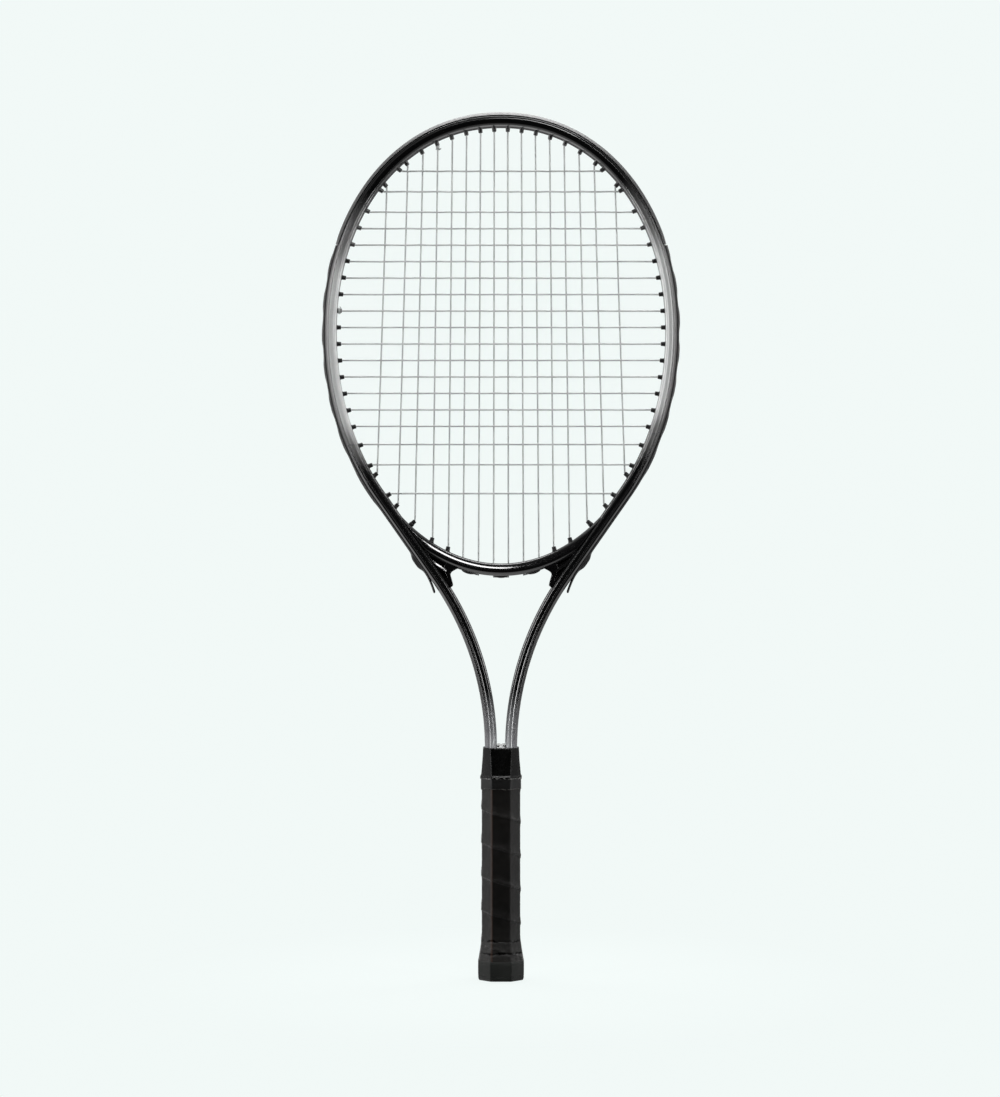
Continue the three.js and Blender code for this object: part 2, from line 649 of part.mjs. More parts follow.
const shaftSpacer = () => {
  const half = SHAFT_X - OUTSIDE - GAP;
  const top = SHAFT_BEND_Z + SPACER_ABOVE;
  return toGeometry(block(-half, half, -SPACER_HALF_DEPTH, SPACER_HALF_DEPTH, PALLET_TOP_Z + GAP, top));
};

const collar = () => {
  const outside = octagonStack([
    [COLLAR_LIP_Z, LIP_GROWTH],
    [COLLAR_LIP_Z + LIP_HEIGHT, LIP_GROWTH],
    [COLLAR_LIP_Z + LIP_HEIGHT + LIP_GROWTH - COLLAR_GROWTH, COLLAR_GROWTH],
    [COLLAR_TOP_Z - COLLAR_ROUND, COLLAR_TOP_GROWTH, COLLAR_TOP_BEVEL],
    [COLLAR_TOP_Z, COLLAR_TOP_GROWTH - GAP, COLLAR_TOP_BEVEL],
  ]);
  const overGrip = octagonStack([[COLLAR_LIP_Z - OVERSHOOT, GAP], [GRIP_TOP_Z + GAP, GAP]]);
  const overPallet = octagonStack([[GRIP_TOP_Z, -TAPE_THICK], [PALLET_TOP_Z + GAP, -TAPE_THICK]]);
  const corners = bothSides([
    [SHAFT_X - RIDGE, CHANNEL_Y],
    [SHAFT_X - SHOULDER + GAP, SHOULDER_DEPTH + GAP],
    [SHAFT_X + OUTSIDE + GAP, SHELF_DEPTH + GAP],
    [SHAFT_X + OUTSIDE + GAP, -SHELF_DEPTH - GAP],
    [SHAFT_X - SHOULDER + GAP, -SHOULDER_DEPTH - GAP],
    [SHAFT_X - RIDGE, -CHANNEL_Y],
  ]);
  const depth = COLLAR_TOP_Z + OVERSHOOT - PALLET_TOP_Z;
  const slot = new THREE.ExtrudeGeometry(shapeOf(corners), { depth, bevelEnabled: false });
  slot.translate(0, 0, PALLET_TOP_Z);
  return toGeometry(outside.subtract(overGrip).subtract(overPallet).subtract(toSolid(slot)));
};

const sleeve = (levels, inside) => {
  const low = levels[0][0] - OVERSHOOT;
  const high = levels.at(-1)[0] + OVERSHOOT;
  return toGeometry(octagonStack(levels).subtract(octagonStack([[low, inside], [high, inside]])));
};

const gripTape = () => sleeve([
  [FLARE_TOP_Z, FLARE_TOP_GROWTH],
  [EASE_TOP_Z, 0],
  [GRIP_TOP_Z, 0],
], -TAPE_THICK);

const finishingBand = () => sleeve([[BAND_LOW_Z, BAND_GROWTH], [COLLAR_LIP_Z - GAP, BAND_GROWTH]], GAP);

const buttCap = () => {
  const outside = octagonStack([
    [0, CHAMFER_GROWTH],
    [CHAMFER_Z, BUTT_GROWTH],
    [BUTT_WIDE_Z, BUTT_GROWTH],
    [FLARE_TOP_Z - GAP, FLARE_TOP_GROWTH],
  ]);
  const cup = octagonStack([[PALLET_FOOT_Z - GAP, -TAPE_THICK], [FLARE_TOP_Z + OVERSHOOT, -TAPE_THICK]]);
  const door = toSolid(rod(BADGE_RADIUS + GAP, 16, flat(0, -OVERSHOOT), flat(0, PALLET_FOOT_Z)));
  return toGeometry(outside.subtract(cup).subtract(door).subtract(tack(-1, GAP)).subtract(tack(1, GAP)));
};

const buttBadge = () => rod(BADGE_RADIUS, 16, flat(0, 0), flat(0, PALLET_FOOT_Z - GAP));

// ---- assembly ----
const FINISH = {
  blackPaint: { color: 0x0c0d0e, roughness: 0.22, metalness: 0.6 },
  blackGloss: { color: 0x08090a, roughness: 0.2, metalness: 0 },
  blackPlastic: { color: 0x141516, roughness: 0.45, metalness: 0 },
  string: { color: 0xcdd2d0, roughness: 0.35, metalness: 0 },
  steel: { color: 0x9a9c9e, roughness: 0.35, metalness: 1 },
  foam: { color: 0x4a4a46, roughness: 0.8, metalness: 0 },
  clear: { color: 0xd8dcda, roughness: 0.15, metalness: 0 },
  tape: { color: 0x1c1917, roughness: 0.6, metalness: 0 },
  rubber: { color: 0x101111, roughness: 0.35, metalness: 0 },
  butt: { color: 0x2b2d2b, roughness: 0.6, metalness: 0 },
};

const group = new THREE.Group();
const add = (name, geometry, finish) => {
  const mesh = new THREE.Mesh(geometry, new THREE.MeshStandardMaterial(FINISH[finish]));
  mesh.name = name;
  group.add(mesh);
};

add('frame_tube', frameTube(), 'blackPaint');
add('throat_bridge', throatBridge(), 'blackGloss');
mains.filter(({ bottom }) => bottom.through === 'stub').forEach(({ bottom }, i) => {
  add(`bridge_grommet_${i + 1}`, bridgeGrommet(bottom), 'blackPlastic');
});
add('bridge_screw_left', bridgeScrew(-1), 'steel');
add('bridge_screw_right', bridgeScrew(1), 'steel');
add('head_bumper_guard', headGuard(), 'blackPlastic');
add('left_grommet_strip', sideStrip(-1), 'blackPlastic');
add('right_grommet_strip', sideStrip(1), 'blackPlastic');
add('main_string', mainString(), 'string');
add('cross_string', crossString(), 'string');
add('shaft_spacer', shaftSpacer(), 'clear');
add('collar', collar(), 'rubber');
add('handle_shell_front', handleShell(-1), 'foam');
add('handle_shell_back', handleShell(1), 'foam');
add('handle_pin_upper', handlePin(PIN_HEIGHTS.upper), 'steel');
add('handle_pin_lower', handlePin(PIN_HEIGHTS.lower), 'steel');
add('grip_tape', gripTape(), 'tape');
add('grip_finishing_band', finishingBand(), 'blackPlastic');
add('butt_cap', buttCap(), 'butt');
add('butt_badge', buttBadge(), 'butt');
add('butt_tack_front', toGeometry(tack(-1)), 'steel');
add('butt_tack_back', toGeometry(tack(1)), 'steel');

export default group;
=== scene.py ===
"""The finished look of the tennis racket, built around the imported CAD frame.

Sizes are in millimetres in the CAD part's own frame, and every mesh is made in metres by MM.
+Z runs up the racket from the butt, +X across the head, and the front hitting face looks along -Y.
"""
import math

import bmesh
import bpy
import numpy as np
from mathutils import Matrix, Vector, noise


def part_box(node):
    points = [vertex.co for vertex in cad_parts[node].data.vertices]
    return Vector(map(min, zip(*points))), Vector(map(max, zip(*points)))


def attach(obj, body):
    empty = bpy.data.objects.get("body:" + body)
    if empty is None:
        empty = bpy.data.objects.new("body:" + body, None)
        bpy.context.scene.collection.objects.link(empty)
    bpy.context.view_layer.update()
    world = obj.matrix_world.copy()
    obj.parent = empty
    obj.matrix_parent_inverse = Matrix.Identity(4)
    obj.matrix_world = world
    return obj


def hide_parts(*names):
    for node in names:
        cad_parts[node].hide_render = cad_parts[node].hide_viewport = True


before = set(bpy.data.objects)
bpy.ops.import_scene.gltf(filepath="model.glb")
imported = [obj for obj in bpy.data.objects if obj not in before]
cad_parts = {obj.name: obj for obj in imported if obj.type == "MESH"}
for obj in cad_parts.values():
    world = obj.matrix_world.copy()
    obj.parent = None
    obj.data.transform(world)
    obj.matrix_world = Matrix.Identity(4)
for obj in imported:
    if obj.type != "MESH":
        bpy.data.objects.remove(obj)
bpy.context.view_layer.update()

MM = 0.001
BODY = "root"


def box_mm(node):
    """A node's lowest and highest corners."""
    return np.array(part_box(node)) / MM


# ---- driving dimensions, millimetres ----
LENGTH = box_mm("head_bumper_guard")[1][2]
TUBE_WIDTH = 9.6
OUTSIDE = TUBE_WIDTH / 2
HALF_DEPTH = box_mm("frame_tube")[1][1]
HEAD_CENTRE_Z = 512
HEAD_HALF_WIDTH = 135.1
GUARD_PROUD = 1.6
STRIP_PROUD = 1.2
HEAD_RISE = LENGTH - GUARD_PROUD - OUTSIDE - HEAD_CENTRE_Z
HEAD_DROP = 184
HEAD_POWER = 2.1
LEAN = math.radians(35)
SHAFT_BEND = 235
SHAFT_X = 8
LEG_END_Z = box_mm("frame_tube")[0][2]
GUARD_END_Z = 580
TAIL_Z = 321
TAIL_LENGTH = 16.2
TAIL_LIFT = 3.4
STUB = 3.5
STUB_LEAN = 0.18
STRING_RADIUS = 0.67
STRING_SIDES = 8
WEAVE = 0.8  # how far a string steps to each side of the string plane
LOOP_SIDESTEP = 1.5  # where two loops share the channel
MAINS_A_SIDE = 8
MAIN_PITCH_TOP = 10.6
MAIN_PITCH_BOTTOM = 11.69
MAIN_GROWTH = 0.011
KNOT_MAIN = 5  # tied off at its top, counted leftwards from the middle
KNOT_CROSS = 8  # tied off at its left end, counted down from the first
KNOT_PITCH = 0.9
KNOT_RADIUS = 0.43
OUTER_MAIN_GAP = 16.6
CROSS_TOP_Z = 639.8
CROSS_GAPS = [16.2, 16.2] + [13.05] * 13 + [14.4, 16, 22.9]
BRIDGE_HALF_WIDTH = 130.2
BRIDGE_DROP = 183
BRIDGE_BAND = 9.9
WING_MAIN = 6  # the main on each side that passes through the bridge's wing and the tube
WING_THICK = 3.2  # over the tube, at that main
WING_TOP_Z = 365.7
HOOK_TIP_Z = 310
LAST_BRIDGE_STUB = 4
SLEEVE_DEPTH = 6.2  # from the band's upper edge to the loop below a bridge grommet
LOOP_BELOW_BAND = 0.9
SCREW_Z = 333.5
GRIP_WIDTH = 30.6
GRIP_DEPTH = 28
GRIP_FLAT = 14.6
LEFT_CORNER_X = -7.4  # front left corner of the grip's octagon
WRAP_PITCH = 26.6
WRAP_LEFT_Z = 136.6  # an overlap's height at the grip's left edge
CREASE_HEIGHTS = (31, 21.5)  # wrinkles round the flare


# ---- mesh helpers ----
def piece(name, verts, faces, material, nodes=(), crease=40):
    """A closed mesh from millimetre points, riding on the racket's one body."""
    mesh = bpy.data.meshes.new(name)
    mesh.from_pydata((np.asarray(verts, float) * MM).tolist(), [], faces)
    mesh.validate()
    mesh.polygons.foreach_set("use_smooth", [True] * len(mesh.polygons))
    mesh.update()
    fixer = bmesh.new()
    fixer.from_mesh(mesh)
    bmesh.ops.recalc_face_normals(fixer, faces=fixer.faces)
    fixer.to_mesh(mesh)
    fixer.free()
    mesh.set_sharp_from_angle(angle=math.radians(crease))
    obj = bpy.data.objects.new(name, mesh)
    bpy.context.collection.objects.link(obj)
    mesh.materials.append(material)
    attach(obj, BODY)
    if nodes:
        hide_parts(*nodes)
    return obj


class Shell:
    """Collects closed tubes and turned shapes into one mesh."""

    def __init__(self):
        self.verts = []
        self.faces = []

    def rings(self, rings):
        """Skins a list of equal rings, each an array of points, and caps both ends."""
        start = len(self.verts)
        count = len(rings[0])
        for loop in rings:
            self.verts.extend(np.asarray(loop, float).tolist())
        for i in range(len(rings) - 1):
            low = start + i * count
            for j in range(count):
                k = (j + 1) % count
                self.faces.append((low + j, low + k, low + count + k, low + count + j))
        last = start + (len(rings) - 1) * count
        self.faces.append(tuple(range(start + count - 1, start - 1, -1)))
        self.faces.append(tuple(range(last, last + count)))

    def make(self, name, material, nodes=(), crease=40):
        return piece(name, self.verts, self.faces, material, nodes, crease)


def skin(name, rings, material, nodes, crease=40):
    """One closed piece from one list of rings."""
    shell = Shell()
    shell.rings(rings)
    return shell.make(name, material, nodes, crease)


def placed(section, origin, normal):
    """A section's (depth, radial) points set at a place, the radial ones along its normal."""
    ring = origin + section[:, 1:2] * normal
    ring[:, 1] += section[:, 0]
    return ring


def flat(x, z):
    """A point or direction in the middle plane."""
    return np.array([x, 0.0, z])


def unit(vector):
    return vector / np.linalg.norm(vector)


def circle(centre, radius, across, other, sides):
    angles = np.arange(sides) / sides * 2 * math.pi
    return centre + radius * (np.cos(angles)[:, None] * across + np.sin(angles)[:, None] * other)


def rounded(corners, steps=4):
    """A closed outline from (a, b, radius) corners, each turned into a short arc."""
    points = []
    count = len(corners)
    for i, (a, b, radius) in enumerate(corners):
        here = np.array([a, b], float)
        before = np.array(corners[i - 1][:2], float) - here
        after = np.array(corners[(i + 1) % count][:2], float) - here
        room = 0.45 * min(np.linalg.norm(before), np.linalg.norm(after))
        turn = math.pi - math.acos(
            np.clip(before @ after / (np.linalg.norm(before) * np.linalg.norm(after)), -1, 1))
        cut = max(min(radius * math.tan(turn / 2), room), 0.004)
        start = here + before / np.linalg.norm(before) * cut
        end = here + after / np.linalg.norm(after) * cut
        for t in np.linspace(0, 1, steps + 1):
            points.append((1 - t) ** 2 * start + 2 * t * (1 - t) * here + t * t * end)
    return np.array(points)


def both_sides(half):
    return half + [(-a, b, r) for a, b, r in reversed(half)]


def ease_out(share):
    """Slow start, even slope, slow finish: the line of the widening handle."""
    share = min(max(share, 0.0), 1.0)
    return share * share * (1.9 - 0.9 * share)


def smoothstep(low, high, value):
    t = np.clip((value - low) / (high - low), 0, 1)
    return t * t * (3 - 2 * t)


# ---- the frame's centreline, right half, as in the CAD part ----
LAST_ANGLE = math.atan(math.tan(LEAN) * HEAD_DROP / HEAD_HALF_WIDTH)
RUN_TOP = flat(HEAD_HALF_WIDTH * math.cos(LAST_ANGLE), HEAD_CENTRE_Z - HEAD_DROP * math.sin(LAST_ANGLE))
RUN_FOOT_X = SHAFT_X + SHAFT_BEND * (1 - math.cos(LEAN))
RUN_FOOT = flat(RUN_FOOT_X, RUN_TOP[2] - (RUN_TOP[0] - RUN_FOOT_X) / math.tan(LEAN))
SHAFT_BEND_Z = RUN_FOOT[2] - SHAFT_BEND * math.sin(LEAN)


def centreline(u):
    """u counts the stretches: 0 top, 1 widest, 2 start of the straight run, 3 its foot, 4 end of bend."""
    if u <= 1:
        angle = max(u, 0) * math.pi / 2
        return flat(
            HEAD_HALF_WIDTH * math.sin(angle) ** (2 / HEAD_POWER),
            HEAD_CENTRE_Z + HEAD_RISE * abs(math.cos(angle)) ** (2 / HEAD_POWER))
    if u <= 2:
        angle = (u - 1) * LAST_ANGLE
        return flat(HEAD_HALF_WIDTH * math.cos(angle), HEAD_CENTRE_Z - HEAD_DROP * math.sin(angle))
    if u <= 3:
        return RUN_TOP + (RUN_FOOT - RUN_TOP) * (u - 2)
    if u <= 4:
        angle = (4 - u) * LEAN
        return flat(SHAFT_X + SHAFT_BEND * (1 - math.cos(angle)), SHAFT_BEND_Z + SHAFT_BEND * math.sin(angle))
    return flat(SHAFT_X, SHAFT_BEND_Z + (LEG_END_Z - SHAFT_BEND_Z) * (u - 4))


def inward(u):
    step = 2e-3
    if u < step:
        return flat(0, -1)
    along = unit(centreline(u + step) - centreline(u - step))
    return flat(along[2], -along[0])


def beside(u, offset, depth=0.0):
    point = centreline(u) + inward(u) * offset
    point[1] += depth
    return point


def mirror(point, side):
    return point * (side, 1, 1)


def solve(test, low, high):
    for _ in range(40):
        middle = (low + high) / 2
        if test(middle) < 0:
            low = middle
        else:
            high = middle
    return (low + high) / 2


def stations(low, high, per_stretch=(110, 60, 14, 60, 8)):
    """Sweep stations between two places, close together where the tube curves."""
    found = [low]
    for stretch, count in enumerate(per_stretch):
        found += [stretch + i / count for i in range(count) if low < stretch + i / count < high]
    return found + [high]


def sweep_rings(path, section):
    """path: (u, side) pairs. section(u) gives (depth, radial) points."""
    return [placed(section(u), centreline(u), inward(u)) * (side, 1, 1) for u, side in path]


def whole_path(high):
    """From the left side over the top of the head to the right side."""
    right = stations(0, high)
    return [(u, -1) for u in reversed(right[1:])] + [(u, 1) for u in right]


# ---- where the strings end ----
def main_x(k, pitch):
    place = min(k, MAINS_A_SIDE - 1) - 0.5
    x = pitch * (place + MAIN_GROWTH * place * place)
    return x if k < MAINS_A_SIDE else x + OUTER_MAIN_GAP


def bridge_top_z(x):
    return HEAD_CENTRE_Z - BRIDGE_DROP * math.sqrt(1 - (x / BRIDGE_HALF_WIDTH) ** 2)


def bridge_normal(x):
    step = 0.01
    slope = (bridge_top_z(x + step) - bridge_top_z(x - step)) / (2 * step)
    return unit(flat(-slope, 1))


CHANNEL_OFFSET = -4.95  # where the outside loops of string lie


def tube_grommet(u, side, string_way, base_offset=OUTSIDE):
    """A stub whose root is on the tube's inner face, leaning a little towards its string."""
    root = mirror(beside(u, base_offset), side)
    axis = unit(unit(mirror(inward(u), side)) * (1 - STUB_LEAN) + np.array(string_way) * STUB_LEAN)
    return {
        "u": u, "side": side, "kind": "tube", "root": root, "axis": axis,
        "tip": root + axis * STUB, "outer": mirror(beside(u, CHANNEL_OFFSET), side)}


def main_top(k, side):
    u = solve(lambda v: tube_grommet(v, 1, (0, 0, -1))["tip"][0] - main_x(k, MAIN_PITCH_TOP), 0.001, 1)
    return tube_grommet(u, side, (0, 0, -1))


def main_bottom(k, side):
    x = main_x(k, MAIN_PITCH_BOTTOM)
    if k >= WING_MAIN:
        wing = WING_THICK if k == WING_MAIN else 0
        u = solve(lambda v: x - tube_grommet(v, 1, (0, 0, 1), OUTSIDE + wing)["tip"][0], 1, 3)
        return tube_grommet(u, side, (0, 0, 1), OUTSIDE + wing)
    stub = k >= LAST_BRIDGE_STUB
    axis = unit(bridge_normal(x) + flat(0, 1)) if stub else flat(0, 1)
    surface = flat(x, bridge_top_z(x))
    depth = SLEEVE_DEPTH if stub else BRIDGE_BAND + LOOP_BELOW_BAND
    return {
        "side": side, "kind": "stub" if stub else "band",
        "root": mirror(surface, side), "axis": mirror(axis, side),
        "tip": mirror(surface + axis * (STUB if stub else 0), side),
        "outer": mirror(surface - axis * depth, side)}


left_half = [(k, -1) for k in range(MAINS_A_SIDE, 0, -1)]
right_half = [(k, 1) for k in range(1, MAINS_A_SIDE + 1)]
mains = [{"top": main_top(*at), "bottom": main_bottom(*at)} for at in left_half + right_half]


def cross_end(z, side):
    u = solve(lambda v: z - tube_grommet(v, side, (-side, 0, 0))["tip"][2], 0.001, 3)
    return tube_grommet(u, side, (-side, 0, 0))


crosses = []
cross_z = CROSS_TOP_Z
for gap in [0] + CROSS_GAPS:
    cross_z -= gap
    crosses.append({"z": cross_z, "left": cross_end(cross_z, -1), "right": cross_end(cross_z, 1)})

all_ends = [end for main in mains for end in main.values()]
all_ends += [cross[side] for cross in crosses for side in ("left", "right")]
tube_ends = [end for end in all_ends if end["kind"] == "tube"]


# ---- materials ----
BACKGROUND = (0.886, 0.945, 0.930)


class Tree:
    """A node tree, with short calls for the nodes that the finishes and the studio share."""

    def __init__(self, tree, coordinates):
        self.tree = tree
        self.place = self.add("ShaderNodeTexCoord").outputs[coordinates]

    def add(self, kind, **settings):
        node = self.tree.nodes.new(kind)
        for key, value in settings.items():
            setattr(node, key, value)
        return node

    def link(self, source, target):
        self.tree.links.new(source, target)

    def feed(self, node, inputs):
        for key, value in inputs.items():
            if isinstance(value, bpy.types.NodeSocket):
                self.link(value, node.inputs[key])
            else:
                node.inputs[key].default_value = value

    def scaled(self, scale):
        mapping = self.add("ShaderNodeMapping")
        self.feed(mapping, {"Vector": self.place, "Scale": scale})
        return mapping.outputs[0]

    def noise(self, scale, detail=4, rough=0.5, at=None, distortion=0.0):
        node = self.add("ShaderNodeTexNoise")
        self.feed(node, {
            "Vector": at or self.place, "Scale": scale, "Detail": detail,
            "Roughness": rough, "Distortion": distortion})
        return node.outputs["Fac"]

    def ramp(self, value, stops, mode="LINEAR"):
        node = self.add("ShaderNodeValToRGB")
        node.color_ramp.interpolation = mode
        elements = node.color_ramp.elements
        while len(elements) < len(stops):
            elements.new(0.5)
        for element, (place, colour) in zip(elements, stops):
            element.position = place
            element.color = (*colour, 1)
        self.link(value, node.inputs[0])
        return node.outputs[0]

    def grey(self, value, low, high, dark, light):
        """Maps a value between two places to a number between two greys."""
        node = self.add("ShaderNodeMapRange")
        self.feed(node, {"Value": value, "From Min": low, "From Max": high, "To Min": dark, "To Max": light})
        return node.outputs[0]

    def shades(self, value, dark, light, high=0.7):
        """A colour that drifts between two as a noise crosses its middle range."""
        return self.ramp(value, [(0.3, dark), (high, light)])

    def math(self, operation, a, b=0.0):
        node = self.add("ShaderNodeMath", operation=operation)
        self.feed(node, {0: a, 1: b})
        return node.outputs[0]

    def times(self, a, b):
        return self.math("MULTIPLY", a, b)

    def plus(self, a, b):
        return self.math("ADD", a, b)

    def near(self, value, place, inner, outer):
        """1 within the inner distance of a place, fading to 0 at the outer one."""
        return self.grey(self.math("ABSOLUTE", self.math("SUBTRACT", value, place)), inner, outer, 1.0, 0.0)

    def mix(self, factor, a, b, blend="MIX"):
        node = self.add("ShaderNodeMix", data_type="RGBA", blend_type=blend)
        a, b = ((*colour, 1) if isinstance(colour, tuple) else colour for colour in (a, b))
        self.feed(node, {0: factor, 6: a, 7: b})
        return node.outputs[2]

    def split(self):
        node = self.add("ShaderNodeSeparateXYZ")
        self.link(self.place, node.inputs[0])
        return node.outputs


class Finish(Tree):
    """A material and the nodes round its one shader."""

    def __init__(self, name):
        self.material = bpy.data.materials.new(name)
        self.material.use_nodes = True
        super().__init__(self.material.node_tree, "Object")
        self.shader = self.tree.nodes["Principled BSDF"]

    def set(self, **values):
        self.feed(self.shader, {key.replace("_", " "): value for key, value in values.items()})

    def bump(self, height, strength, distance):
        node = self.add("ShaderNodeBump")
        self.feed(node, {"Height": height, "Strength": strength, "Distance": distance})
        self.link(node.outputs[0], self.shader.inputs["Normal"])


FADE_LOW, FADE_HIGH = 150, 700  # heights that the paint's changes are measured between


def frame_paint(name, silver, mid, foot):
    """Clear-coated paint: black over the head's top and the throat, fading to silver at the sides."""
    n = Finish(name)
    x, _, z = n.split()
    drift = n.grey(n.noise(14, 2), 0.3, 0.7, -0.006, 0.006)
    skew = n.times(x, -0.05)
    height = n.plus(n.plus(z, drift), skew)
    place = n.grey(height, FADE_LOW * MM, FADE_HIGH * MM, 0.0, 1.0)

    def at(z):
        return (z - FADE_LOW) / (FADE_HIGH - FADE_LOW)

    def levels(*stops):
        return n.ramp(place, [(at(z), (level,) * 3) for z, level in stops])

    black = (0.0032, 0.0033, 0.0034)
    tone = n.ramp(place, [
        (at(180), foot), (at(200), tuple(0.5 * c for c in foot)), (at(232), black), (at(404), black),
        (at(428), mid), (at(455), silver), (at(560), silver), (at(594), mid), (at(628), black)], "EASE")
    flake = n.noise(1100, 2, 0.7)
    tone = n.mix(n.grey(flake, 0.45, 0.75, 0.0, 0.2), tone, n.mix(1.0, tone, (1.4, 1.4, 1.4), "MULTIPLY"))
    mottle = n.noise(45, 5, 0.6)
    tone = n.mix(n.grey(mottle, 0.3, 0.7, 0.0, 0.16), tone, n.mix(1.0, tone, (0.72, 0.73, 0.725), "MULTIPLY"))
    blur = levels((404, 0.05), (455, 0.2), (560, 0.2), (628, 0.08))
    matt = levels((190, 0.4), (232, 0.14), (404, 0.14), (455, 0.42), (560, 0.42), (628, 0.16))
    n.set(Base_Color=tone, Metallic=0.25, Coat_Weight=0.55, Coat_Roughness=blur,
          Roughness=n.times(matt, n.grey(mottle, 0.2, 0.8, 0.8, 1.15)))
    n.bump(n.noise(60, 2), 0.012, 0.0003)
    return n.material


def gloss_plastic():
    n = Finish("bridge_gloss")
    cloud = n.noise(60, 5, 0.6)
    n.set(Base_Color=n.shades(cloud, (0.0022, 0.0022, 0.0024), (0.0036, 0.0036, 0.0038)),
          Roughness=n.grey(n.noise(220, 6, 0.7), 0.3, 0.75, 0.10, 0.22),
          Specular_IOR_Level=0.6, Coat_Weight=0.5, Coat_Roughness=0.05)
    n.bump(n.noise(120, 3), 0.05, 0.0003)
    return n.material


def strip_plastic(name, specular):
    n = Finish(name)
    cloud = n.noise(90, 6, 0.65)
    scuff = n.noise(520, 4, 0.7, n.scaled((1, 1, 0.25)))
    tone = n.shades(cloud, (0.003, 0.003, 0.003), (0.006, 0.006, 0.006))
    tone = n.mix(n.grey(scuff, 0.62, 0.8, 0.0, 0.5), tone, (0.022, 0.0225, 0.022))
    n.set(Base_Color=tone, Roughness=n.grey(scuff, 0.3, 0.8, 0.40, 0.62), Specular_IOR_Level=specular)
    n.bump(scuff, 0.25, 0.0002)
    return n.material


def string_nylon():
    n = Finish("string_nylon")
    twist = n.add("ShaderNodeTexWave", wave_type="BANDS", bands_direction="DIAGONAL")
    n.feed(twist, {"Vector": n.place, "Scale": 620, "Distortion": 1.2, "Detail": 1})
    tone = n.shades(n.noise(38, 4), (0.35, 0.367, 0.362), (0.43, 0.448, 0.443))
    n.set(Base_Color=tone, Roughness=n.grey(n.noise(300), 0.3, 0.7, 0.26, 0.42), Specular_IOR_Level=0.4)
    n.bump(twist.outputs["Fac"], 0.1, 0.0001)
    return n.material


def steel():
    n = Finish("plain_steel")
    brush = n.noise(900, 3, 0.6, n.scaled((1, 1, 0.08)))
    n.set(Base_Color=n.shades(brush, (0.42, 0.43, 0.44), (0.62, 0.63, 0.64)),
          Metallic=1.0, Roughness=n.grey(brush, 0.3, 0.7, 0.28, 0.45))
    n.bump(brush, 0.1, 0.0001)
    return n.material


def spacer_plastic():
    n = Finish("spacer_clear")
    cloud = n.noise(240, 4)
    n.set(Base_Color=n.shades(cloud, (0.72, 0.74, 0.73), (0.86, 0.88, 0.87)),
          Roughness=n.grey(cloud, 0.3, 0.7, 0.18, 0.3), Coat_Weight=0.5)
    n.bump(cloud, 0.15, 0.0002)
    return n.material


def collar_rubber():
    n = Finish("collar_rubber")
    z = n.split()[2]
    tone = n.shades(n.noise(70, 5, 0.6), (0.0006, 0.0007, 0.0006), (0.0015, 0.0016, 0.0014))
    ragged = n.plus(z, n.grey(n.noise(210, 5, 0.75), 0.3, 0.7, -0.0008, 0.0008))
    worn = n.near(ragged, (LIP_Z + 0.9) * MM, 0.0001, 0.00038)
    patchy = n.times(worn, n.grey(n.noise(320, 4, 0.7), 0.46, 0.56, 0.0, 1.0))
    tone = n.mix(patchy, tone, (0.30, 0.30, 0.285))
    n.set(Base_Color=tone, Roughness=n.grey(n.noise(200, 6, 0.7), 0.3, 0.75, 0.2, 0.36),
          Specular_IOR_Level=0.25)
    height = n.plus(n.noise(120, 4), n.times(n.noise(900, 2), 0.15))
    n.bump(height, 0.3, 0.0005)
    return n.material


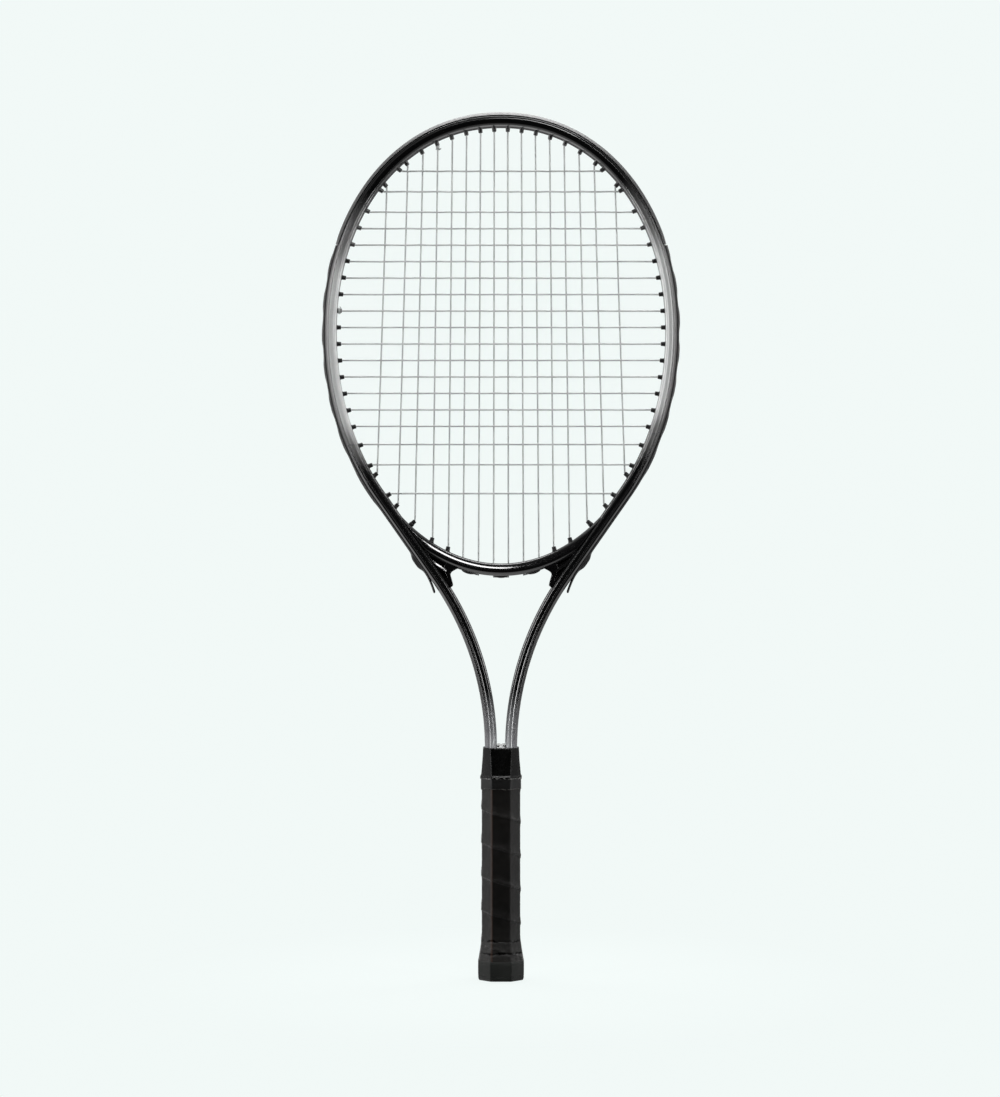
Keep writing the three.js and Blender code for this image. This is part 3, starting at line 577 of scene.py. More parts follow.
def grip_leather():
    """Dark synthetic leather: fine grain, painted shade in the creases, painted highlights along the overlaps
    and along the front left corner, lighter low down.
    """
    n = Finish("grip_leather")
    x, y, z = n.split()
    angle = n.math("ARCTAN2", y, x)
    turn = n.times(angle, WRAP_PITCH * MM / (2 * math.pi))
    climb = n.times(n.plus(z, turn), 1 / (WRAP_PITCH * MM))
    share = n.math("FRACT", n.plus(climb, -(WRAP_LEFT_Z / WRAP_PITCH) - 0.5 + 8))
    seam = n.math("MAXIMUM", n.grey(share, 0.0, 0.10, 1.0, 0.0), n.grey(share, 0.97, 1.0, 0.0, 1.0))
    crinkle = n.noise(330, 9, 0.8, n.scaled((0.8, 0.8, 1.5)), 2.5)
    # Painted highlight: where crinkles meet a seam of the wrap.
    seam_highlight = n.times(seam, n.grey(crinkle, 0.56, 0.66, 0.0, 1.0))
    low = n.grey(z, 0.012, 0.052, 1.0, 0.0)
    scraped = n.noise(170, 7, 0.75, n.scaled((1, 1, 1.8)), 1.5)
    low_marks = n.times(low, n.grey(scraped, 0.5, 0.7, 0.0, 1.0))
    cells = n.add("ShaderNodeTexVoronoi", feature="DISTANCE_TO_EDGE")
    n.feed(cells, {"Vector": n.place, "Scale": 1300})
    grain = n.grey(cells.outputs["Distance"], 0.0, 0.25, 0.0, 1.0)
    tone = n.shades(n.noise(26, 5, 0.6), (0.0012, 0.0010, 0.0008), (0.0036, 0.0030, 0.0025), 0.72)
    tone = n.mix(low, tone, (0.0095, 0.0091, 0.0083))
    tone = n.mix(n.times(low_marks, 0.7), tone, (0.002, 0.002, 0.002))
    # Painted highlight along the overlaps, lightening the tape.
    tone = n.mix(n.times(seam_highlight, 0.5), tone, (0.12, 0.116, 0.108))
    wavy = n.plus(z, n.grey(n.noise(110, 5, 0.7), 0.3, 0.7, -0.0016, 0.0016))
    creases = [n.near(wavy, height * MM, 0.0003, 0.0011) for height in CREASE_HEIGHTS]
    crease_shade = n.times(n.math("MAXIMUM", *creases), n.grey(n.noise(160, 3), 0.4, 0.52, 0.1, 1.0))
    # Painted shade in the creases round the flare; their specular is lowered as well.
    tone = n.mix(crease_shade, tone, (0.0005, 0.0005, 0.0005))
    # Painted highlight: a reddish line along the front left corner of the octagon.
    corner_highlight = n.times(n.near(x, LEFT_CORNER_X * MM, 0.0004, 0.0013), n.grey(y, -0.009, -0.012, 0.0, 1.0))
    tone = n.mix(n.times(corner_highlight, 0.8), tone, (0.030, 0.017, 0.012))
    n.set(Base_Color=tone, Roughness=n.grey(n.noise(150, 8, 0.72), 0.3, 0.75, 0.36, 0.52),
          Specular_IOR_Level=n.grey(crease_shade, 0.0, 1.0, 0.26, 0.02))
    height = n.plus(n.times(grain, 0.22), n.times(n.noise(150, 8, 0.7), 0.8))
    height = n.plus(height, n.times(n.times(seam, crinkle), 2.5))
    n.bump(height, 0.35, 0.0004)
    return n.material


def vinyl_tape():
    n = Finish("vinyl_tape")
    z = n.split()[2]
    stretch = n.noise(300, 4, 0.6, n.scaled((1, 1, 4)))
    ragged = n.plus(z, n.grey(n.noise(240, 5, 0.75), 0.3, 0.7, -0.0007, 0.0007))
    edge = n.near(ragged, BAND_LOW_Z * MM, 0.0003, 0.0007)
    torn = n.times(edge, n.grey(n.noise(300, 4, 0.7), 0.46, 0.58, 0.0, 1.0))
    tone = n.shades(stretch, (0.003, 0.003, 0.003), (0.006, 0.006, 0.006))
    n.set(Base_Color=n.mix(n.times(torn, 0.8), tone, (0.16, 0.155, 0.145)),
          Roughness=n.grey(stretch, 0.3, 0.7, 0.34, 0.5), Specular_IOR_Level=0.3)
    n.bump(stretch, 0.2, 0.0003)
    return n.material


def butt_plastic():
    n = Finish("butt_plastic")
    grit = n.noise(1400, 3, 0.7)
    tone = n.shades(n.noise(60, 5, 0.6), (0.0070, 0.0080, 0.0070), (0.0125, 0.0138, 0.0125))
    scuff = n.noise(180, 6, 0.75, n.scaled((1, 1, 2.5)))
    tone = n.mix(n.grey(scuff, 0.62, 0.8, 0.0, 0.5), tone, (0.08, 0.083, 0.08))
    n.set(Base_Color=tone, Roughness=n.grey(scuff, 0.3, 0.8, 0.48, 0.7), Specular_IOR_Level=0.2)
    n.bump(n.plus(grit, scuff), 0.2, 0.0002)
    return n.material


def pallet_foam():
    n = Finish("pallet_foam")
    cells = n.add("ShaderNodeTexVoronoi", feature="F1")
    n.feed(cells, {"Vector": n.place, "Scale": 900})
    tone = n.ramp(cells.outputs["Distance"], [(0.1, (0.05, 0.048, 0.042)), (0.6, (0.12, 0.115, 0.10))])
    n.set(Base_Color=tone, Roughness=n.grey(n.noise(200), 0.3, 0.7, 0.7, 0.9))
    n.bump(cells.outputs["Distance"], 0.4, 0.0003)
    return n.material


def floor_pale():
    """As pale as the background all over, and shaded by the racket only close to it."""
    n = Finish("floor_pale")
    away = n.add("ShaderNodeVectorMath", operation="LENGTH")
    n.link(n.place, away.inputs[0])
    near = n.grey(away.outputs["Value"], 0.0, 0.3, 1.0, 0.0)
    patch = n.shades(n.noise(1.5, 2), (0.056, 0.0600, 0.0590), (0.058, 0.0618, 0.0608))
    n.set(Base_Color=n.mix(near, (0.0, 0.0, 0.0), patch), Roughness=0.9, Specular_IOR_Level=0.0,
          Emission_Color=(*BACKGROUND, 1), Emission_Strength=n.grey(near, 0.0, 1.0, 1.0, 0.9))
    return n.material


LIP_Z = box_mm("collar")[0][2]
BAND_LOW_Z = box_mm("grip_finishing_band")[0][2]

PAINT = frame_paint("frame_paint", (0.41, 0.42, 0.416), (0.12, 0.12, 0.12), (0.36, 0.37, 0.38))
# A darker copy of the frame paint for the tube's outer facets: painted shade.
PAINT_OUTSIDE_SHADED = frame_paint(
    "frame_paint_outside_shaded", (0.10, 0.099, 0.099), (0.03, 0.03, 0.03), (0.14, 0.14, 0.15))
GLOSS = gloss_plastic()
STRIP = strip_plastic("strip_plastic", 0.22)
GUARD = strip_plastic("guard_plastic", 0.9)
NYLON = string_nylon()
STEEL = steel()
SPACER = spacer_plastic()
RUBBER = collar_rubber()
LEATHER = grip_leather()
VINYL = vinyl_tape()
BUTT = butt_plastic()
FOAM = pallet_foam()


# ---- frame tube ----
RIDGE_AT = -1.0
TUBE_SECTION = rounded(both_sides([
    (4.2, -3.2, 0.2), (4.5, -OUTSIDE, 0.3), (5.6, -OUTSIDE, 0.9), (8.1, -2.7, 0.9),
    (8.68, RIDGE_AT - 0.4, 0.15), (HALF_DEPTH, RIDGE_AT, 0.4), (HALF_DEPTH - 0.02, RIDGE_AT + 0.5, 0.4),
    (8.68, RIDGE_AT + 1.0, 0.2), (8.5, 1.2, 1.2), (8.0, 2.5, 2.2), (6.9, 3.9, 2.6), (4.6, OUTSIDE, 2.0)]), 5)


def frame_tube():
    """The bent tube: a ridge divides its outer facets, which carry a darker copy of the paint as painted
    shade, from its inner ones.
    """
    rings = sweep_rings(whole_path(5), lambda u: TUBE_SECTION)
    tube = skin("frame_tube_finished", rings, PAINT, ["frame_tube"], 24)
    # The outer facets take the darker copy of the paint: painted shade.
    tube.data.materials.append(PAINT_OUTSIDE_SHADED)
    count = len(TUBE_SECTION)
    for number, face in enumerate(tube.data.polygons[:count * (len(rings) - 1)]):
        middle = (TUBE_SECTION[number % count] + TUBE_SECTION[(number + 1) % count]) / 2
        face.material_index = 1 if middle[1] < RIDGE_AT else 0


# ---- grommet stubs and strips ----
def turned(shell, origin, axis, profile, sides=16):
    """Turns (distance along axis, radius) points about the axis, into a closed shape."""
    axis = unit(np.asarray(axis, float))
    across = unit(np.cross(axis, (0, 1, 0) if abs(axis[1]) < 0.9 else (1, 0, 0)))
    other = np.cross(axis, across)
    shell.rings([circle(origin + axis * along, radius, across, other, sides) for along, radius in profile])


STUB_PROFILE = [
    (-2.2, 1.3), (-2.1, 2.05), (0.1, 2.1), (0.4, 2.0), (0.62, 1.8), (1.2, 1.74), (STUB - 0.5, 1.66),
    (STUB - 0.14, 1.56), (STUB, 1.3), (STUB + 0.02, 1.05), (STUB - 0.3, 0.88), (STUB - 1.3, 0.76)]


def add_stub(shell, end):
    turned(shell, end["root"], end["axis"], STUB_PROFILE)


GUARD_END_U = solve(lambda v: GUARD_END_Z - centreline(v)[2], 0, 1)
FLANGE = [(4.0, -3.4, 0.1), (4.0, -OUTSIDE - 0.05, 0.1)]  # in the tube's groove, then over its lip


def guard_section(u):
    """A broad cover with rounded rails on both sides of the string channel."""
    near_end = smoothstep(GUARD_END_U - 0.035, GUARD_END_U, u)
    proud = GUARD_PROUD - 0.35 * near_end
    return rounded(both_sides([
        *FLANGE, (5.6, -OUTSIDE - 0.05, 0.5), (7.2, -3.6, 0.2),
        (7.85, -3.85, 0.25), (6.7, -5.05, 1.0), (5.5, -OUTSIDE - proud + 0.12, 0.6),
        (3.4, -OUTSIDE - proud, 0.4), (2.5, -OUTSIDE - proud + 0.25, 0.4), (2.1, -4.1, 0.4)]), 4)


def head_guard():
    shell = Shell()
    shell.rings(sweep_rings(whole_path(GUARD_END_U), guard_section))
    for end in tube_ends:
        if end["u"] < GUARD_END_U:
            add_stub(shell, end)
    shell.make("head_guard_finished", GUARD, ["head_bumper_guard"], 45)


SCREW_U = solve(lambda v: SCREW_Z - centreline(v)[2], 2, 3)


def strip_humps(side):
    """Places along one side where the strip swells over a loop of string: (u, half length, height)."""
    key, first = ("left", 1) if side < 0 else ("right", 0)
    humps = []
    for j in range(first, len(crosses) - 1, 2):
        a, b = crosses[j][key]["u"], crosses[j + 1][key]["u"]
        humps.append(((a + b) / 2, (b - a) * 0.6, 0.7))
    humps.append((SCREW_U, 0.085, 2.0))
    return humps


TAIL_U = solve(lambda v: TAIL_Z - beside(v, -OUTSIDE)[2], 2, 3)


def strip_tail(foot, side):
    """The loose end of a side strip: it lifts off the tube and ends round."""
    down = mirror(flat(-math.sin(LEAN), -math.cos(LEAN)), side)
    out = mirror(-inward(2.5), side)
    outer_face = (foot @ out).max()
    rings = []
    for part in [*np.linspace(0.06, 0.94, 15), 0.97, 0.99, 1.0]:
        squeeze = smoothstep(0, 0.3, part)
        tip = math.sqrt(max(1 - (max(part - 0.93, 0) / 0.072) ** 2, 0.02))
        ring = foot.copy()
        depth_in = outer_face - foot @ out
        thin = 0.86 * np.clip(depth_in / depth_in.max(), 0, 1) * 2.1
        wanted = depth_in * (1 - squeeze) + thin * squeeze
        middle = 0.9
        wanted = middle + (wanted - middle) * tip
        ring += np.outer(depth_in - wanted, out)
        ring[:, 1] *= (1 - 0.12 * squeeze) * (0.55 + 0.45 * tip)
        rings.append(ring + down * TAIL_LENGTH * part + out * TAIL_LIFT * part ** 1.5)
    return rings


def side_strip(side, name):
    """Rises over each outside loop of string, and ends in a loose tail."""
    humps = strip_humps(side)
    start = GUARD_END_U + 0.004

    def section(u):
        proud = STRIP_PROUD + sum(h * math.exp(-((u - at) / half) ** 4) for at, half, h in humps)
        return rounded(both_sides([
            *FLANGE, (5.5, -OUTSIDE - 0.05, 0.3), (6.3, -4.3, 0.1),
            (6.6, -4.45, 0.15), (5.6, -OUTSIDE - 0.55, 0.4), (4.2, -OUTSIDE - proud * 0.8, 0.5),
            (2.6, -OUTSIDE - proud, 0.5)]), 3)

    dense = stations(start, TAIL_U, (400, 200, 90, 1, 1))
    rings = sweep_rings([(u, side) for u in dense], section)
    rings += strip_tail(rings[-1], side)
    shell = Shell()
    shell.rings(rings)
    for end in tube_ends:
        if end["u"] >= GUARD_END_U and end["side"] == side:
            add_stub(shell, end)
    shell.make(f"{name}_strip_finished", STRIP, [f"{name}_grommet_strip"], 45)


# ---- throat bridge ----
HOOK_U = solve(lambda v: HOOK_TIP_Z - beside(v, OUTSIDE)[2], 2, 4)
WING_X = BRIDGE_HALF_WIDTH * math.sqrt(1 - ((HEAD_CENTRE_Z - WING_TOP_Z) / BRIDGE_DROP) ** 2)


def room_to_tube(point, way):
    """How far a point can go along a way before it meets the tube's inner face."""
    reach = 0.0
    while reach < BRIDGE_BAND:
        there = point + way * reach
        place = solve(lambda v: there[2] - centreline(v)[2], 1, 4)
        if (beside(place, OUTSIDE) - there)[0] * math.cos(LEAN) < 0.1:
            break
        reach += 0.1
    return reach


BAND_DEEP = 7.6  # half the band's thickness front to back
SUNK_IN_TUBE = 0.3
CROWN = 9  # radius of the band's front and back
CREST = 6.5  # where they stand furthest out, below the upper edge
HOOD_PLACES = (-23.2, 0, 23.2)
HOOD_HALF = 5.6
HOOD_SUNK = 1.2  # into the band's lower edge


def bridge_band():
    """The curved band that carries on the head's oval, crowned along its front and back."""
    rings = []
    for x in np.linspace(-WING_X, WING_X, 201):
        origin = flat(x, bridge_top_z(x))
        normal = -bridge_normal(x)
        size = abs(x)
        way = flat(abs(normal[0]), normal[2])
        thick = min(BRIDGE_BAND, room_to_tube(flat(size, origin[2]), way) + SUNK_IN_TUBE)
        deep = BAND_DEEP - 0.5 * smoothstep(60, WING_X, size)
        share = thick / BRIDGE_BAND
        front = [(deep - CROWN + CROWN * math.cos(tilt), (CREST - CROWN * math.sin(tilt)) * share, 3)
                 for tilt in np.linspace(0.72, 0.0, 6)]
        low = thick - 2.7 * share
        below = [(deep - 0.3, low, 0.9), (deep - 2.4, thick - 0.15, 0.7), (3.2, thick, 0.8)]
        rings.append(placed(rounded(both_sides([(2.6, 0, 0.6), *front, *below]), 3), origin, normal))
    skin("throat_band_finished", rings, GLOSS, ["throat_bridge"], 42)


def bridge_hoods():
    """Flat hoods under the band, each over the turn of string between two mains."""
    shell = Shell()
    for at in HOOD_PLACES:
        rings = []
        for t in np.linspace(-1, 1, 25):
            x = at + HOOD_HALF * t
            normal = -bridge_normal(x)
            origin = flat(x, bridge_top_z(x)) + normal * (BRIDGE_BAND - HOOD_SUNK)
            rise = 0.3 + 2.5 * math.sqrt(max(1 - t * t, 0.004))
            half = 2.2 + 2.0 * math.sqrt(max(1 - t * t, 0.01))
            section = both_sides([(half, 0, 0.3), (half, rise * 0.7, 0.8), (half * 0.6, rise, 0.8)])
            rings.append(placed(rounded(section, 3), origin, normal))
        shell.rings(rings)
    shell.make("throat_hoods", STRIP, ["throat_bridge"])


def bevelled_plate(name, outline, half, width, material, node):
    """An outline in x and z, made thick along y and rounded on its front and back edges."""
    count = len(outline)
    verts = [(x, y, z) for y in (-half, half) for x, z in outline]
    faces = [tuple(range(count)), tuple(range(2 * count - 1, count - 1, -1))]
    faces += [(i, i + count, (i + 1) % count + count, (i + 1) % count) for i in range(count)]
    made = piece(name, verts, faces, material, [node])
    bm = bmesh.new()
    bm.from_mesh(made.data)
    rims = [e for e in bm.edges if abs(e.verts[0].co.y - e.verts[1].co.y) < 1e-7]
    bmesh.ops.bevel(
        bm, geom=rims, offset=width * MM, segments=3, profile=0.6, affect="EDGES", clamp_overlap=True)
    bmesh.ops.triangulate(bm, faces=[f for f in bm.faces if len(f.verts) > 4])
    bmesh.ops.recalc_face_normals(bm, faces=bm.faces)
    bm.to_mesh(made.data)
    bm.free()
    made.data.polygons.foreach_set("use_smooth", [True] * len(made.data.polygons))
    made.data.set_sharp_from_angle(angle=math.radians(42))


def curve(points, step):
    """A smooth line through points in x and z."""
    return smooth_route([(x, 0, z) for x, z in points], step)[:, ::2]


def ribbon(points, width):
    """A closed outline of even width along a curved line."""
    line = curve(points, 0.8)
    along = np.gradient(line, axis=0)
    along /= np.linalg.norm(along, axis=1)[:, None]
    across = np.column_stack([-along[:, 1], along[:, 0]]) * width / 2
    share = np.linspace(0, 1, len(line))[:, None]
    across *= np.sqrt(np.clip(1 - (2 * share - 1) ** 8, 0.08, 1))
    return [tuple(p) for p in line + across] + [tuple(p) for p in (line - across)[::-1]]


WEB_HALF = 3.2
HOOK_HALF = 6.3
WALL_LINE = [(60.5, 339.2), (56.6, 333.4), (52.1, 328.8), (47.6, 325.8), (43.4, 322.4)]
RIM_LINE = [(55.2, 331.4), (53.2, 328.6), (49.9, 324.9), (47.3, 320.4), (43.8, 315.4)]
HOOK_BACK = [
    (36, 329), (40.5, 331.5), (43.2, 329.5), (45.2, 326.2), (44.6, 322.6), (43.2, 319.6), (42.4, 316)]
HOOK_EDGE = [
    (38.1, 311.3), (38.2, 313.2), (39.1, 316.6), (40.0, 319.8), (39.7, 321.4), (38.6, 322.6),
    (36.4, 323.9), (33.6, 325.2)]


def web_wall(side, name):
    """The wall above each pocket: its front and back slope, high below and low towards the band."""
    line = smooth_route([(x * side, 0, z) for x, z in WALL_LINE], 0.8)
    section = rounded(both_sides([
        (2.0, 1.0, 0.1), (HOOK_HALF - 0.1, 1.3, 0.3), (HOOK_HALF + 0.7, -0.7, 0.3),
        (HOOK_HALF - 0.6, -1.2, 0.4), (2.0, -1.0, 0.1)]), 4)
    rings = []
    for point, tangent in zip(line, np.gradient(line, axis=0)):
        up = unit(flat(-tangent[2], tangent[0]))
        rings.append(placed(section, point, up if up[2] > 0 else -up))
    skin(f"{name}_wall_finished", rings, GLOSS, ["throat_bridge"], 42)


def bridge_webs():
    """On each side: a thin web between band and tube, two walls round its pocket, and the hook."""
    for side, name in ((-1, "left"), (1, "right")):
        tube_side = [tuple(beside(u, OUTSIDE + 0.05)[::2]) for u in np.linspace(2.35, HOOK_U, 14)]
        under_band = [(x, bridge_top_z(x) - 6) for x in np.linspace(33.6, 58, 12)]
        low_tube = [p for p in tube_side if p[1] < 323]
        hook_edge = list(curve(HOOK_EDGE, 0.7))
        parts = {
            "web": (tube_side + hook_edge + under_band, WEB_HALF, 0.3),
            "hook": (low_tube + hook_edge + HOOK_BACK, HOOK_HALF, 0.6),
            "rim": (ribbon(RIM_LINE, 0.9), HOOK_HALF - 0.4, 0.35)}
        web_wall(side, name)
        for label, (outline, half, bevel) in parts.items():
            outline = [(x * side, z) for x, z in outline]
            bevelled_plate(
                f"{name}_{label}_finished", outline, half, bevel, GLOSS, "throat_bridge")


def bridge_stubs():
    stubs = [main["bottom"] for main in mains if main["bottom"]["kind"] == "stub"]
    for i, end in enumerate(stubs):
        shell = Shell()
        add_stub(shell, end)
        shell.make(f"bridge_stub_{i + 1}", STRIP, [f"bridge_grommet_{i + 1}"], 45)


# ---- strings ----
def smooth_route(points, step):
    """A Catmull-Rom curve through points, sampled about a step apart."""
    points = np.asarray(points, float)
    padded = np.vstack([2 * points[0] - points[1], points, 2 * points[-1] - points[-2]])
    out = [points[0]]
    for i in range(len(points) - 1):
        p0, p1, p2, p3 = padded[i:i + 4]
        count = max(1, int(round(np.linalg.norm(p2 - p1) / step)))
        for t in (np.arange(count) + 1) / count:
            out.append(0.5 * (2 * p1 + (p2 - p0) * t + (2 * p0 - 5 * p1 + 4 * p2 - p3) * t ** 2
                              + (3 * p1 - p0 - 3 * p2 + p3) * t ** 3))
    return np.array(out)


def clean_route(points, least=0.25):
    kept = [points[0]]
    for point in points[1:]:
        if np.linalg.norm(point - kept[-1]) > least:
            kept.append(point)
    return np.array(kept, float)


def string_piece(name, points, radius, node, crease):
    """A round string along a route, turned as little as possible from ring to ring."""
    route = clean_route(points)
    tangents = [unit(tangent) for tangent in np.gradient(route, axis=0)]
    across = np.cross(tangents[0], (0, 1, 0))
    rings = []
    for point, tangent in zip(route, tangents):
        across = unit(across - tangent * (across @ tangent))
        rings.append(circle(point, radius, across, np.cross(tangent, across), STRING_SIDES))
    skin(name, rings, NYLON, [node], crease)


def main_x_at(main, z):
    low, high = main["bottom"]["tip"], main["top"]["tip"]
    return low[0] + (high[0] - low[0]) * (z - low[2]) / (high[2] - low[2])


def meets(main, cross):
    return (main["bottom"]["tip"][2] + 2 < cross["z"] < main["top"]["tip"][2] - 2
            and abs(main_x_at(main, cross["z"])) < abs(cross["right"]["tip"][0]) - 2)


def cross_z_at(cross, x):
    low, high = cross["left"]["tip"], cross["right"]["tip"]
    return low[2] + (high[2] - low[2]) * (x - low[0]) / (high[0] - low[0])


def crossing(i, j, step):
    """Where main i meets cross j, a step in front of the middle plane or behind it in turn."""
    x = main_x_at(mains[i], crosses[j]["z"])
    return np.array([x, step if (i + j) % 2 == 0 else -step, cross_z_at(crosses[j], x)])


def weave_run(first, last, crossings):
    """From tip to tip, passing over and under."""
    stretch = [first["tip"], *crossings, last["tip"]]
    head = [first["root"] - first["axis"] * 2, first["tip"] - first["axis"] * 0.6]
    tail = [last["tip"] - last["axis"] * 0.6, last["root"] - last["axis"] * 2]
    body = [first["tip"]]
    for a, b in zip(stretch, stretch[1:]):
        count = max(2, int(np.linalg.norm(b - a) / 2.2))
        for t in (np.arange(count) + 1) / count:
            place = a + (b - a) * t
            ease = t * t * (3 - 2 * t)
            place[1] = a[1] + (b[1] - a[1]) * ease
            body.append(place)
    body[0] = body[0] + unit(body[1] - body[0]) * 0.35
    body[-1] = body[-1] + unit(body[-2] - body[-1]) * 0.35
    return head + body + tail


def outside_loop(start, end, sidestep=0.0):
    """The loop of string in the channel, from one grommet round to the next."""
    if start["kind"] != "tube" or end["kind"] != "tube" or start["side"] != end["side"]:
        return [start["outer"], end["outer"]]
    count = max(2, int(abs(end["u"] - start["u"]) * 60))
    points = []
    for t in np.linspace(0, 1, count + 1):
        u = start["u"] + (end["u"] - start["u"]) * t
        points.append(mirror(beside(u, CHANNEL_OFFSET, sidestep * math.sin(math.pi * t)), start["side"]))
    return points


def string_route(strings, near, far, runs, stepped, sidestep):
    """There along one string and back along the next, with a loop outside the frame between them."""
    route = []
    for i, string in enumerate(strings):
        first, last = (near, far) if i % 2 == 0 else (far, near)
        run = runs[i] if i % 2 == 0 else runs[i][::-1]
        route += weave_run(string[first], string[last], run)
        if i < len(strings) - 1:
            route += outside_loop(string[last], strings[i + 1][last], sidestep if i == stepped else 0.0)
    return route


def woven_strings():
    """The mains from the left, and the crosses from the top, which pass on the mains' other side."""
    met = [(i, j) for i, main in enumerate(mains) for j, cross in enumerate(crosses) if meets(main, cross)]
    runs = [[crossing(*at, WEAVE) for at in reversed(met) if at[0] == i] for i in range(len(mains))]
    route = string_route(mains, "bottom", "top", runs, len(mains) - 2, -LOOP_SIDESTEP)
    string_piece("main_string_finished", route, STRING_RADIUS, "main_string", 60)
    runs = [[crossing(*at, -WEAVE) for at in met if at[1] == j] for j in range(len(crosses))]
    route = string_route(crosses, "left", "right", runs, 0, LOOP_SIDESTEP)
    string_piece("cross_string_finished", route, STRING_RADIUS, "cross_string", 60)


def knot(name, start, way, reach, turns, node):
    """Where a string is tied off: turns round the string or the stub, and a short cut end."""
    across = unit(np.cross(way, (0, 1, 0)))
    other = np.cross(way, across)
    route = []
    for angle in np.linspace(0, 2 * math.pi * turns, 24 * turns + 1):
        bulge = reach + 0.2 * math.sin(angle * 0.5)
        route.append(start + way * KNOT_PITCH * angle / (2 * math.pi)
                     + bulge * (math.cos(angle) * across + math.sin(angle) * other))
    route += [route[-1] + step * (0.6 * across - 0.5 * way - 0.5 * other) for step in (0.8, 1.5, 2.2)]
    string_piece(name, route, KNOT_RADIUS, node, 40)


def string_knots():
    top = mains[MAINS_A_SIDE - KNOT_MAIN]["top"]
    down = flat(0, -1)
    knot("main_string_knot", top["tip"] + 0.4 * down, down, 1.2, 3, "main_string")
    left = crosses[KNOT_CROSS]["left"]
    knot("cross_string_knot", left["root"] + 1.1 * left["axis"], left["axis"], 2.15, 2, "cross_string")


# ---- handle ----
def octagon(grow, radius, steps=4, bevel_share=1.0):
    """The handle's outline with rounded corners, grown or shrunk all round."""
    half_width, half_depth = GRIP_WIDTH / 2 + grow, GRIP_DEPTH / 2 + grow
    bevel = bevel_share * ((GRIP_WIDTH - GRIP_FLAT) / 2 + grow * (2 - math.sqrt(2)))
    quarter = [(half_width, half_depth - bevel), (half_width - bevel, half_depth)]
    half = quarter + [(-x, y) for x, y in reversed(quarter)]
    corners = half + [(-x, -y) for x, y in half]
    return rounded([(x, y, radius) for x, y in corners], steps)


def spread(outline, count):
    """The outline again, as evenly spaced points."""
    closed = np.vstack([outline, outline[:1]])
    lengths = np.concatenate([[0], np.cumsum(np.linalg.norm(np.diff(closed, axis=0), axis=1))])
    places = np.arange(count) / count * lengths[-1]
    return np.column_stack([np.interp(places, lengths, closed[:, k]) for k in range(2)])


MEAN_RADIUS = 15  # of the grip, to turn a growth into a scale
GRIP_COLUMNS = 176
GRIP_ROW = 0.5
GRIP_LOW = 14.6
GRIP_TOP = box_mm("grip_tape")[1][2]
FLARE_FROM = 36
FLARE = 2.6


def wrap_height(x, y, z):
    """How far the wrapped tape stands up: a step at each overlap that fades away above it."""
    angle = math.atan2(y, x) % (2 * math.pi)
    wobble = 0.5 * noise.noise(Vector((x * 0.16, y * 0.16, z * 0.05)))
    seam = WRAP_LEFT_Z - WRAP_PITCH * (angle - math.pi) / (2 * math.pi) + wobble
    share = ((z - seam) / WRAP_PITCH) % 1.0
    step = 0.5 * (1 - smoothstep(0.0, 0.26, share)) + 0.1 * smoothstep(0.94, 1.0, share) - 0.1
    step *= smoothstep(20, 40, z)
    front = smoothstep(-2, -9, y)
    for low_seam in CREASE_HEIGHTS:
        path = low_seam + 1.2 * noise.noise(Vector((x * 0.35, y * 0.35, low_seam)))
        step -= 0.3 * front * math.exp(-((z - path) / 0.7) ** 2)
    crumple = noise.fractal(Vector((x * 0.32, y * 0.32, z * 0.30)), 1.0, 2.0, 4)
    near = math.exp(-((share if share < 0.5 else share - 1) / 0.12) ** 2)
    return step + crumple * (0.07 + 0.16 * near)


def grip_tape():
    base = spread(octagon(0, 1.3), GRIP_COLUMNS)
    normals = np.roll(base, -1, axis=0) - np.roll(base, 1, axis=0)
    normals = np.column_stack([normals[:, 1], -normals[:, 0]])
    normals /= np.linalg.norm(normals, axis=1)[:, None]
    rings = []
    for z in np.arange(GRIP_LOW, GRIP_TOP, GRIP_ROW):
        flare = FLARE * ease_out((FLARE_FROM - z) / (FLARE_FROM - GRIP_LOW))
        under_collar = 0.35 * smoothstep(LIP_Z - 1, LIP_Z + 1, z)
        fade = 1 - smoothstep(148, 153, z)
        ring = []
        for (x, y), (nx, ny) in zip(base, normals):
            rise = flare - under_collar
            rise += wrap_height(x, y, z) * (0.35 + 0.65 * fade) if z < LIP_Z - 1 else -0.2
            ring.append((x + nx * rise, y + ny * rise, z))
        rings.append(np.array(ring))
    skin("grip_tape_finished", rings, LEATHER, ["grip_tape"], 32)


def stack(levels, radius):
    """Rings of rounded octagons at (height, growth) or (height, growth, bevel share)."""
    rings = []
    for z, grow, *share in levels:
        outline = octagon(grow, radius, 5, *share)
        rings.append(np.column_stack([outline, np.full(len(outline), z)]))
    return rings


def finishing_band():
    """Thin tape over the top of the wrap, with a wavering lower edge."""
    low = BAND_LOW_Z
    outline = spread(octagon(0.62, 1.5), 120)
    rings = []
    for z, grow in [(low, -0.5), (low + 0.05, -0.05), (low + 0.4, 0.05), (low + 3, 0.0), (LIP_Z + 3, 0.0),
                    (LIP_Z + 3.2, -0.6)]:
        ring = []
        for x, y in outline:
            waver = 0.9 * noise.fractal(Vector((x * 0.2, y * 0.2, 3.1)), 1.0, 2.0, 3) if z < low + 1 else 0
            scale = 1 + grow / MEAN_RADIUS
            ring.append((x * scale, y * scale, z + waver))
        rings.append(np.array(ring))
    skin("finishing_band_finished", rings, VINYL, ["grip_finishing_band"], 32)


